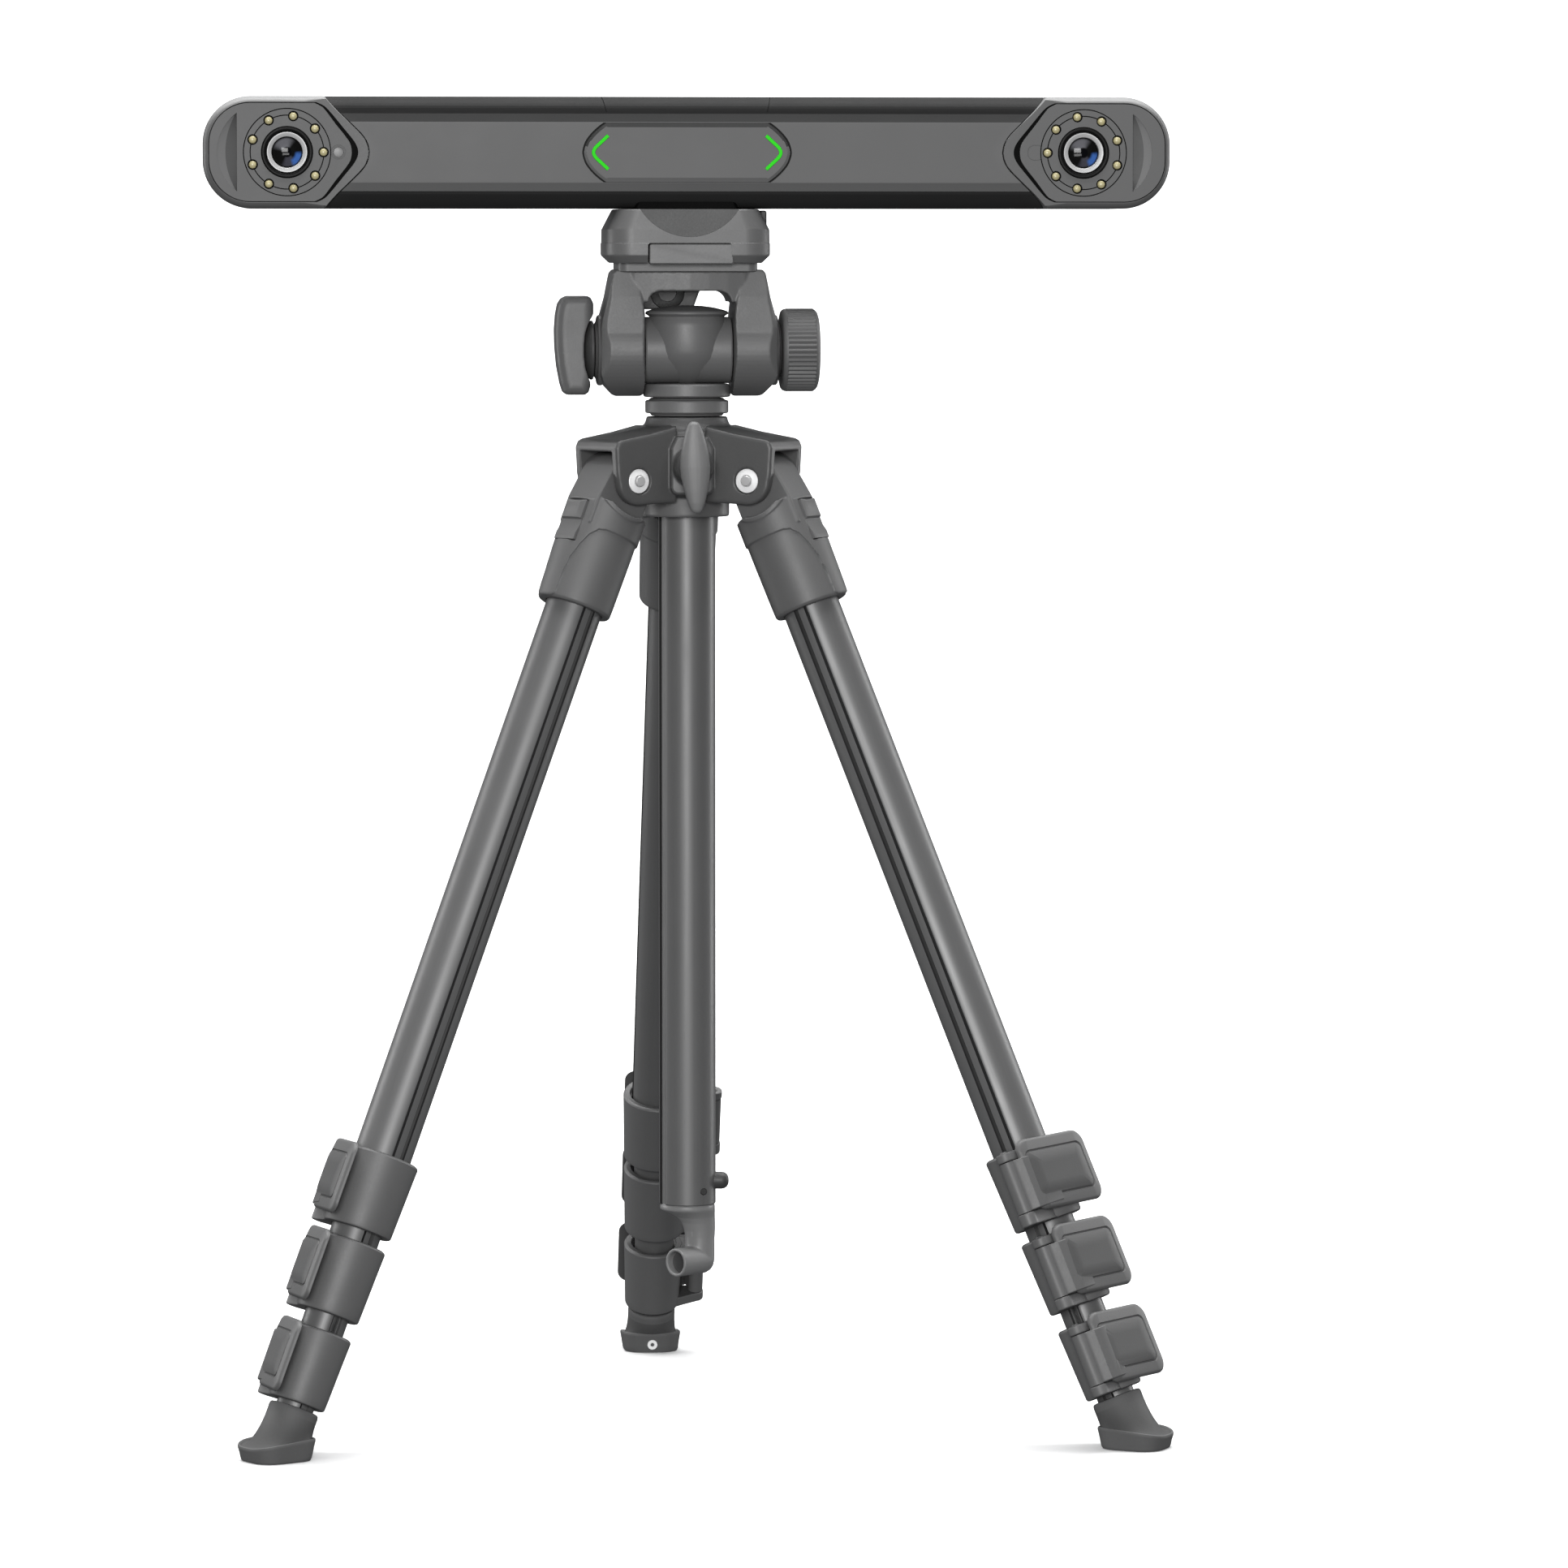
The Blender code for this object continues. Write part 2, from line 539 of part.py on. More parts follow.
for s, nm in ((-1, "left"), (1, "right")):
    at = Matrix.Translation((s * LENS_X * MM, 0, BAR_Z * MM)) @ Matrix.Rotation(math.pi / 2, 4, "X")
    lens = turned([(0, 26.6), (4, 26.0), (7.6, 23.9), (8.1, 26.8), (10.4, 29.4), (12.2, 29.8), (13.3, 28.8),
                   (13.3, 4.0), (11.0, 2.0), (11.0, -10.0), (0, -10.0)], 18, at)
    part(nm + "_camera_lens", lens, GLASS, tilt_axis, at=TILT_AT)

beam = box(-190, 190, -9, 3, BAR_Z - 4, BAR_Z + 14)
cut(beam, box(-200, 200, -7, 1, BAR_Z - 2, BAR_Z + 12))
part("optical_beam", beam, BEAM, tilt_axis, at=TILT_AT)
board = box(-120, 120, 12.0, 13.6, BAR_Z - 18, BAR_Z + 22)
join(board, box(-30, -6, 13.2, 16.6, BAR_Z - 8, BAR_Z + 12), box(20, 52, 13.2, 15.4, BAR_Z - 10, BAR_Z + 6),
     box(70, 92, 13.2, 17.5, BAR_Z - 6, BAR_Z + 10), box(-96, -70, 13.2, 18.5, BAR_Z - 12, BAR_Z + 4))
part("main_board", board, BOARD, tilt_axis, at=TILT_AT)
foot = flat([(-27.2, 638.4), (27.2, 638.4), (24.5, 645.4), (-24.5, 645.4)], -24.2, 18.0, "XZ")
part("mount_foot", foot, BLACK, tilt_axis, at=TILT_AT)


# ---- legs -----------------------------------------------------------------------
def build_shoulder():
    s = rod((0, 0.5, -16.5), (0, 0.5, -72.5), 21.8, 20, 19.6)
    neck = flat(arc(0, 0, 12.8, 20, 180, 7) + [(-12.8, -30), (17.5, -30), (17.5, -16)], -14.2, 14.2, "YZ")
    join(s, neck)
    cut(s, rod((0, 0, -29.6), (0, 0, -90), 15.3, TUBE_SEGS))
    cut(s, rod((-30, 0, 0), (30, 0, 0), 4.35, 12))
    cut(s, box(-8.4, 8.4, 16.6, 40, -47, -21.6))
    return s


def build_bolt():
    return turned([(0, 20.7), (6.3, 19.8), (6.3, 18.7), (4.0, 18.7), (4.0, -18.7), (6.3, -18.7), (6.3, -19.8), (0, -20.7)],
                  12, Matrix.Rotation(math.pi / 2, 4, "Y"))


def build_tab():
    t = flat([(17.0, -21.9), (20.4, -21.9), (21.4, -24.5), (20.8, -43.0), (19.8, -46.7), (17.0, -46.7)], -8.0, 8.0, "YZ")
    for z in (-30.5, -35.0, -39.5):
        cut(t, box(-6, 6, 20.0, 30, z - 1.0, z + 1.0))
    return t


def lug_outline(i):
    """Lug from the collar's wall out to the lever hinge."""
    a0, a1 = math.radians(-30), math.radians(45)
    k = COLLAR_R[i] - 2.2
    return [(k * math.cos(a0), k * math.sin(a0))] + arc(*LEVER_H[i], 4.6, -80, 100, 5) + [(k * math.cos(a1), k * math.sin(a1))]


def build_section(i):
    z0, z1 = COLLAR_TOP[i], COLLAR_TOP[i] - COLLAR_H
    s = turned([(TUBE_IN[i], TUBE_TOP[i]), (TUBE_R[i], TUBE_TOP[i]), (TUBE_R[i], z0), (COLLAR_R[i] + COLLAR_TAPER, z0),
                (COLLAR_R[i] - COLLAR_TAPER, z1), (TUBE_IN[i], z1)], TUBE_SEGS)
    for a, b in ((z0 - 0.3, z0 - LUG), (z1 + LUG, z1 + 0.3)):
        join(s, flat(lug_outline(i), b, a, "XY"))
    cut(s, rod((*LEVER_H[i], z0 + 5), (*LEVER_H[i], z1 - 5), 2.4, 8))
    return s


def build_lever(i):
    """About its own hinge: paddle laid across the outer side of the collar."""
    a = math.radians(LEVER_TURN)
    hx, hy = LEVER_H[i]
    r, half = COLLAR_R[i], COLLAR_H / 2

    def put(pts):
        return [(u * math.cos(a) + v * math.sin(a) - hx, v * math.cos(a) - u * math.sin(a) - hy) for u, v in pts]

    hu, hv = hx * math.cos(a) - hy * math.sin(a), hx * math.sin(a) + hy * math.cos(a)
    top = r + 4.5
    drop = (hv + 4.6 - top) / (hu - 8.0)
    plate = [(-26.0, r + 1.1), (12.0, r + 1.1), (12.0, r + 3.9), (8.0, top), (0.0, r + 4.8), (-12.0, r + 4.6), (-26.5, r + 3.4)]
    web = [(7.0, r + 1.2), (hu - 8.5, r + 0.8), (hu - 3.4, hv - 2.0), (hu + 1.0, hv - 2.0), (hu + 1.0, hv + 3.9),
           (hu - 3.5, top + drop * (hu - 11.5) + 1.6), (hu - 10.0, top + drop * (hu - 18.0) + 1.2), (7.0, top - 0.1)]
    lv = flat(put(plate), -17.9, 17.9, "XY")
    reach = half - LUG - GAP
    join(lv, flat(put(web), -reach, reach, "XY"))
    join(lv, rod((0, 0, -reach), (0, 0, reach), 4.2, 10))
    join(lv, rod((0, 0, -half + 0.6), (0, 0, half - 0.6), 2.0, 6))
    return lv


def build_foot():
    """Rubber boot; the sole is level with the floor while the leg leans."""
    a = math.radians(LEG_ANGLE)
    to_leg = Matrix.Translation((0, 0, -(PIVOT_Z + LIFT) / math.cos(a) * MM)) @ Matrix.Rotation(-a, 4, "X")
    sole = flat(arc(-6.5, -8, 10, 180, 270, 3) + arc(6.5, -8, 10, 270, 360, 3) + arc(4.5, 6.5, 12, 0, 90, 3) + arc(-4.5, 6.5, 12, 90, 180, 3),
                0.0, 10.5, "XY")
    for v in sole.data.vertices:
        if v.co.z < 5 * MM:
            v.co.x *= 0.91
            v.co.y *= 0.91
    moved(sole, to_leg)
    neck = turned([(0, FOOT_TOP), (12.4, FOOT_TOP), (13.5, FOOT_TOP - 1.2), (13.2, -521.5), (14.4, -533), (0, -533)], 16)
    join(sole, neck)
    cut(sole, rod((0, 0, FOOT_TOP + 5), (0, 0, TUBE4_END - 0.4), TUBE_R[3] + GAP, TUBE_SEGS))
    return sole


shoulder, bolt, tab, boot = build_shoulder(), build_bolt(), build_tab(), build_foot()
levers = [build_lever(i) for i in range(3)]
sections = [build_section(i) for i in range(3)]
lowest = turned([(TUBE_IN[3], TUBE_TOP[3]), (TUBE_R[3], TUBE_TOP[3]), (TUBE_R[3], TUBE4_END), (TUBE_IN[3], TUBE4_END)], TUBE_SEGS)

for side in LEG_AZ:
    leg, e = side + "_leg_", leg_axis[side]
    twin(leg + "shoulder", shoulder, CAST, e)
    twin(leg + "pivot_bolt", bolt, STEEL, e)
    twin(leg + "angle_tab", tab, KNOB, e)
    for i in range(3):
        twin(leg + "section_" + str(i + 1), sections[i], TUBE, e)
        twin(leg + "lever_" + str(i + 1), levers[i], KNOB, e, at=(*LEVER_H[i], COLLAR_TOP[i] - COLLAR_H / 2))
    twin(leg + "section_4", lowest, TUBE, e)
    twin(leg + "foot", boot, RUBBER, e)

for o in (shoulder, bolt, tab, boot, lowest, *sections, *levers):
    bpy.data.objects.remove(o, do_unlink=True)
bpy.context.view_layer.update()
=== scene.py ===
"""Looks of the stereo tracker bar on its tilt head and folding tripod.

Shapes are written in millimetres about the column's axis, or about a leg's pivot in the
leg's own frame, and placed with one matrix each.
"""
import math

import bmesh
import bpy
from mathutils import Matrix, Vector


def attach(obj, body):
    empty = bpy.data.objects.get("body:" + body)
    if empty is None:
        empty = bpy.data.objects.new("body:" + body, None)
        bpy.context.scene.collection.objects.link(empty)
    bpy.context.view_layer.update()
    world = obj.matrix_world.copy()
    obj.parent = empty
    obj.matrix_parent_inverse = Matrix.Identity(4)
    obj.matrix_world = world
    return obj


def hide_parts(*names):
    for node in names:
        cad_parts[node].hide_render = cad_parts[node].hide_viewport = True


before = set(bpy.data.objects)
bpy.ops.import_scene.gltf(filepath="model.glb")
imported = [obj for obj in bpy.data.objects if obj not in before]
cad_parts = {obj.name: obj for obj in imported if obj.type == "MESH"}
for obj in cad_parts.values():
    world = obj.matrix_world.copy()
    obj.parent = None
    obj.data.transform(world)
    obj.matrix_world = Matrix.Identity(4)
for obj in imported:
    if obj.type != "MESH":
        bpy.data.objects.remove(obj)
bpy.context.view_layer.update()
scene = bpy.context.scene

MM = 0.001

AXIS_Y, LIFT = -62.33, 2.8
LEG_ANGLE, PIVOT_R, PIVOT_Z = 23.15, 43.6, 496.1
LEG_AZ = {"left": 120.0, "right": 240.0, "back": 0.0}
TUBE_R = (15.0, 13.2, 11.5, 9.9)
TUBE_IN = (13.5, 11.8, 10.2, 8.4)
TUBE_TOP = (-30.0, -40.0, -45.0, -50.0)
COLLAR_R = (19.0, 17.4, 15.8)
COLLAR_TOP = (-377.1, -424.1, -472.9)
COLLAR_H = 38.2
TUBE4_END = -528.5
FOOT_TOP = -514.3
LEVER_H = ((31.0, 3.6), (27.0, 3.6), (24.6, 3.6))
LEVER_TURN = math.radians(18.4)
BZ, BH = 667.5, 29.25
LENS_X = 208.9
TZ = 564.0

HEAD = Matrix.Translation((0, AXIS_Y * MM, LIFT * MM))
BAR = Matrix.Translation((-2.0 * MM, AXIS_Y * MM, LIFT * MM))


def leg_frame(side):
    az = math.radians(LEG_AZ[side])
    p = Vector((-math.sin(az) * PIVOT_R, math.cos(az) * PIVOT_R, PIVOT_Z)) * MM
    return HEAD @ Matrix.Translation(p) @ Matrix.Rotation(az, 4, "Z") @ Matrix.Rotation(math.radians(LEG_ANGLE), 4, "X")


# ---------------------------------------------------------------- mesh tools
def make(verts, faces, name="shape"):
    me = bpy.data.meshes.new(name)
    me.from_pydata([(x * MM, y * MM, z * MM) for x, y, z in verts], [], faces)
    bm = bmesh.new()
    bm.from_mesh(me)
    bmesh.ops.remove_doubles(bm, verts=bm.verts, dist=1e-6)
    bmesh.ops.recalc_face_normals(bm, faces=bm.faces)
    bm.to_mesh(me)
    bm.free()
    ob = bpy.data.objects.new(name, me)
    scene.collection.objects.link(ob)
    return ob


def loft(rings, loop=False, caps=True):
    n, m = len(rings[0]), len(rings)
    verts = [p for r in rings for p in r]
    faces = []
    for i in range(m if loop else m - 1):
        a, b = i * n, ((i + 1) % m) * n
        for j in range(n):
            k = (j + 1) % n
            faces.append((a + j, a + k, b + k, b + j))
    c0, c1 = caps if isinstance(caps, tuple) else (caps, caps)
    if c0 and not loop:
        faces.append(tuple(range(n))[::-1])
    if c1 and not loop:
        faces.append(tuple((m - 1) * n + j for j in range(n)))
    return make(verts, faces)


def put(u, v, t, plane):
    return {"XZ": (u, t, v), "YZ": (t, u, v), "XY": (u, v, t)}[plane]


def area(pts):
    return sum(a[0] * b[1] - b[0] * a[1] for a, b in zip(pts, pts[1:] + pts[:1])) / 2


def inset(pts, d):
    """Outline moved inward by d, one number or one for each corner."""
    n = len(pts)
    s = 1.0 if area(pts) > 0 else -1.0
    d = [d] * n if isinstance(d, (int, float)) else d
    out = []
    for i in range(n):
        (ax, ay), (bx, by), (cx, cy) = pts[i - 1], pts[i], pts[(i + 1) % n]
        l1, l2 = math.hypot(bx - ax, by - ay) or 1e-9, math.hypot(cx - bx, cy - by) or 1e-9
        n1 = (-(by - ay) / l1 * s, (bx - ax) / l1 * s)
        n2 = (-(cy - by) / l2 * s, (cx - bx) / l2 * s)
        k = max(0.35, 1 + n1[0] * n2[0] + n1[1] * n2[1])
        out.append((bx + d[i] * (n1[0] + n2[0]) / k, by + d[i] * (n1[1] + n2[1]) / k))
    return out


def prism(pts, t0, t1, plane):
    return loft([[put(u, v, t, plane) for u, v in pts] for t in (t0, t1)])


def plate(pts, t0, t1, plane, b0=0.5, b1=0.5, n=3, weight=None):
    """Prism with rounded edges at both ends; weight scales the rounding corner by corner."""
    w = weight or [1.0] * len(pts)
    s = 1.0 if t1 > t0 else -1.0
    steps = []
    for k in range(n + 1):
        a = math.pi / 2 * k / n
        if b0:
            steps.append((b0 * (1 - math.sin(a)), t0 + s * b0 * (1 - math.cos(a))))
    if not b0:
        steps.append((0.0, t0))
    for k in range(n, -1, -1):
        a = math.pi / 2 * k / n
        if b1:
            steps.append((b1 * (1 - math.sin(a)), t1 - s * b1 * (1 - math.cos(a))))
    if not b1:
        steps.append((0.0, t1))
    rings = []
    for d, t in steps:
        rings.append([put(u, v, t, plane) for u, v in inset(pts, [d * x for x in w])])
    return loft(rings)


def lathe(profile, segs=64, axis="z", at=(0, 0, 0), loop=False):
    """(r, h) profile turned about an axis; h runs along the axis ("-y" points forward)."""
    rings = []
    for r, h in profile:
        ring = []
        for k in range(segs):
            a = math.tau * k / segs
            c, s = r * math.cos(a), r * math.sin(a)
            if axis == "z":
                p = (c, s, h)
            elif axis == "x":
                p = (h, c, s)
            else:
                p = (c, -h, s)
            ring.append((p[0] + at[0], p[1] + at[1], p[2] + at[2]))
        rings.append(ring)
    return loft(rings, loop=loop, caps=(profile[0][0] > 1e-6, profile[-1][0] > 1e-6))


def arc(cx, cy, r, a0, a1, n):
    return [(cx + r * math.cos(math.radians(a0 + (a1 - a0) * i / n)),
             cy + r * math.sin(math.radians(a0 + (a1 - a0) * i / n))) for i in range(n + 1)]


def rrect(cx, cy, hw, hh, r, n=6):
    r = min(r, hw - 0.01, hh - 0.01)
    return (arc(cx + hw - r, cy + hh - r, r, 0, 90, n) + arc(cx - hw + r, cy + hh - r, r, 90, 180, n)
            + arc(cx - hw + r, cy - hh + r, r, 180, 270, n) + arc(cx + hw - r, cy - hh + r, r, 270, 360, n))


def curve(pts, n=6):
    """Catmull-Rom through the points."""
    out = []
    for i in range(len(pts) - 1):
        p0, p1, p2, p3 = pts[max(i - 1, 0)], pts[i], pts[i + 1], pts[min(i + 2, len(pts) - 1)]
        for k in range(n):
            t = k / n
            out.append(tuple(0.5 * (2 * b + (c - a) * t + (2 * a - 5 * b + 4 * c - d) * t * t + (3 * b - a - 3 * c + d) * t ** 3)
                             for a, b, c, d in zip(p0, p1, p2, p3)))
    out.append(tuple(pts[-1]))
    return out


def lerp(table, x):
    for (a, fa), (b, fb) in zip(table, table[1:]):
        if x <= b:
            return fa + (fb - fa) * max(0.0, (x - a) / (b - a))
    return table[-1][1]


def bake(ob):
    bpy.context.view_layer.update()
    dg = bpy.context.evaluated_depsgraph_get()
    me = bpy.data.meshes.new_from_object(ob.evaluated_get(dg))
    ob.modifiers.clear()
    ob.data = me
    return ob


def boolean(ob, others, how):
    for o in others:
        m = ob.modifiers.new("b", "BOOLEAN")
        m.operation = how
        m.solver = "EXACT"
        m.object = o
        bake(ob)
        bpy.data.objects.remove(o, do_unlink=True)
    return ob


def cut(ob, *others):
    return boolean(ob, others, "DIFFERENCE")


def fuse(ob, *others):
    return boolean(ob, others, "UNION")


def common(ob, *others):
    return boolean(ob, others, "INTERSECT")


def group(*obs):
    """Shapes that stay clear of each other, as one mesh."""
    bm = bmesh.new()
    for o in obs:
        bm.from_mesh(o.data)
        bpy.data.objects.remove(o, do_unlink=True)
    me = bpy.data.meshes.new("group")
    bm.to_mesh(me)
    bm.free()
    ob = bpy.data.objects.new("group", me)
    scene.collection.objects.link(ob)
    return ob


def edge(ob, w, n=2, angle=35):
    m = ob.modifiers.new("e", "BEVEL")
    m.width = w * MM
    m.segments = n
    m.limit_method = "ANGLE"
    m.angle_limit = math.radians(angle)
    m.use_clamp_overlap = True
    m.miter_outer = "MITER_ARC"
    return bake(ob)


def cast(ob, voxel=0.5, smooth=6, tris=30000):
    """Soft-edged casting: remeshed, relaxed and thinned out."""
    m = ob.modifiers.new("r", "REMESH")
    m.mode = "VOXEL"
    m.voxel_size = voxel * MM
    m.use_smooth_shade = True
    s = ob.modifiers.new("s", "SMOOTH")
    s.factor = 0.5
    s.iterations = smooth
    bake(ob)
    have = sum(len(p.vertices) - 2 for p in ob.data.polygons)
    if have > tris:
        d = ob.modifiers.new("d", "DECIMATE")
        d.ratio = tris / have
        bake(ob)
    ob.data.shade_smooth()
    return ob


def shade(ob, angle=30.0):
    ob.data.shade_smooth()
    ob.data.set_sharp_from_angle(angle=math.radians(angle))
    m = ob.modifiers.new("n", "WEIGHTED_NORMAL")
    m.keep_sharp = True
    m.weight = 60
    return bake(ob)


def spun(ob, m):
    ob.data.transform(m)
    return ob


def flipped(ob):
    """Mirror image across the middle plane, as a new object."""
    o = bpy.data.objects.new("mirror", ob.data.copy())
    scene.collection.objects.link(o)
    o.data.transform(Matrix.Diagonal((-1, 1, 1, 1)))
    o.data.flip_normals()
    return o


def dress(ob, name, body, mats, node=None, place=HEAD):
    ob.name = name
    ob.data.name = name
    mats = mats if isinstance(mats, (list, tuple)) else [mats]
    idx = [p.material_index for p in ob.data.polygons]
    ob.data.materials.clear()
    for m in mats:
        ob.data.materials.append(m)
    if len(mats) > 1:
        ob.data.polygons.foreach_set("material_index", [min(i, len(mats) - 1) for i in idx])
    else:
        ob.data.polygons.foreach_set("material_index", [0] * len(idx))
    ob.matrix_world = place
    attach(ob, body)
    if node:
        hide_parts(*([node] if isinstance(node, str) else node))
    return ob


def copy_of(ob):
    o = bpy.data.objects.new("copy", ob.data.copy())
    scene.collection.objects.link(o)
    return o


# ---------------------------------------------------------------- materials
def wire(nt, kind, inputs=None, **props):
    n = nt.nodes.new(kind)
    for k, v in props.items():
        setattr(n, k, v)
    for k, v in (inputs or {}).items():
        if isinstance(v, bpy.types.NodeSocket):
            nt.links.new(v, n.inputs[k])
        else:
            n.inputs[k].default_value = v
    return n


def grey(v):
    """sRGB level 0-255 to a linear grey."""
    c = v / 255.0
    return c / 12.92 if c < 0.04045 else ((c + 0.055) / 1.055) ** 2.4


def finish_of(name, colour, rough, metal=0.0, grain=1500.0, stretch=(1, 1, 1), bump=0.06, vary=0.10, blotch=30.0,
              wear=0.0, coat=0.0, spec=0.5, spread=0.08, aniso=0.0):
    """Procedural finish: fine grain in colour, roughness and bump, broad mottling, and paler worn edges."""
    m = bpy.data.materials.new(name)
    m.use_nodes = True
    nt = m.node_tree
    b = nt.nodes["Principled BSDF"]
    c = (colour,) * 3 if isinstance(colour, (int, float)) else colour
    tc = wire(nt, "ShaderNodeTexCoord")
    mp = wire(nt, "ShaderNodeMapping", {"Vector": tc.outputs["Object"], "Scale": stretch})
    fine = wire(nt, "ShaderNodeTexNoise", {"Vector": mp.outputs["Vector"], "Scale": grain, "Detail": 3.0, "Roughness": 0.6})
    broad = wire(nt, "ShaderNodeTexNoise", {"Vector": tc.outputs["Object"], "Scale": blotch, "Detail": 4.0, "Roughness": 0.55})
    both = wire(nt, "ShaderNodeMix", {"Factor": 0.5, "A": fine.outputs["Fac"], "B": broad.outputs["Fac"]}, data_type="FLOAT")
    tone = wire(nt, "ShaderNodeMix", {"Factor": both.outputs["Result"],
                                      "A": tuple(x * (1 - vary) for x in c) + (1,),
                                      "B": tuple(min(1.0, x * (1 + vary)) for x in c) + (1,)}, data_type="RGBA")
    # a Mix node has several sockets of one name; the colour ones are set by type
    for s in tone.inputs:
        if s.type == "RGBA" and s.name == "A":
            s.default_value = tuple(x * (1 - vary) for x in c) + (1,)
        if s.type == "RGBA" and s.name == "B":
            s.default_value = tuple(min(1.0, x * (1 + vary)) for x in c) + (1,)
    col = [s for s in tone.outputs if s.type == "RGBA"][0]
    if wear:
        geo = wire(nt, "ShaderNodeNewGeometry")
        at = wire(nt, "ShaderNodeMapRange", {"Value": geo.outputs["Pointiness"], "From Min": 0.53, "From Max": 0.62,
                                             "To Min": 0.0, "To Max": wear})
        worn = wire(nt, "ShaderNodeMix", {}, data_type="RGBA")
        nt.links.new(at.outputs["Result"], worn.inputs["Factor"])
        for s in worn.inputs:
            if s.type == "RGBA" and s.name == "A":
                nt.links.new(col, s)
            if s.type == "RGBA" and s.name == "B":
                s.default_value = tuple(min(1.0, x * 1.7 + 0.02) for x in c) + (1,)
        col = [s for s in worn.outputs if s.type == "RGBA"][0]
    nt.links.new(col, b.inputs["Base Color"])
    r = wire(nt, "ShaderNodeMapRange", {"Value": both.outputs["Result"], "From Min": 0.3, "From Max": 0.7,
                                        "To Min": max(0.02, rough - spread), "To Max": min(1.0, rough + spread)})
    nt.links.new(r.outputs["Result"], b.inputs["Roughness"])
    if bump:
        bp = wire(nt, "ShaderNodeBump", {"Height": fine.outputs["Fac"], "Strength": bump, "Distance": 0.0004})
        nt.links.new(bp.outputs["Normal"], b.inputs["Normal"])
    b.inputs["Metallic"].default_value = metal
    b.inputs["Specular IOR Level"].default_value = spec
    b.inputs["Coat Weight"].default_value = coat
    b.inputs["Coat Roughness"].default_value = 0.25
    if aniso:
        b.inputs["Anisotropic"].default_value = aniso
    return m


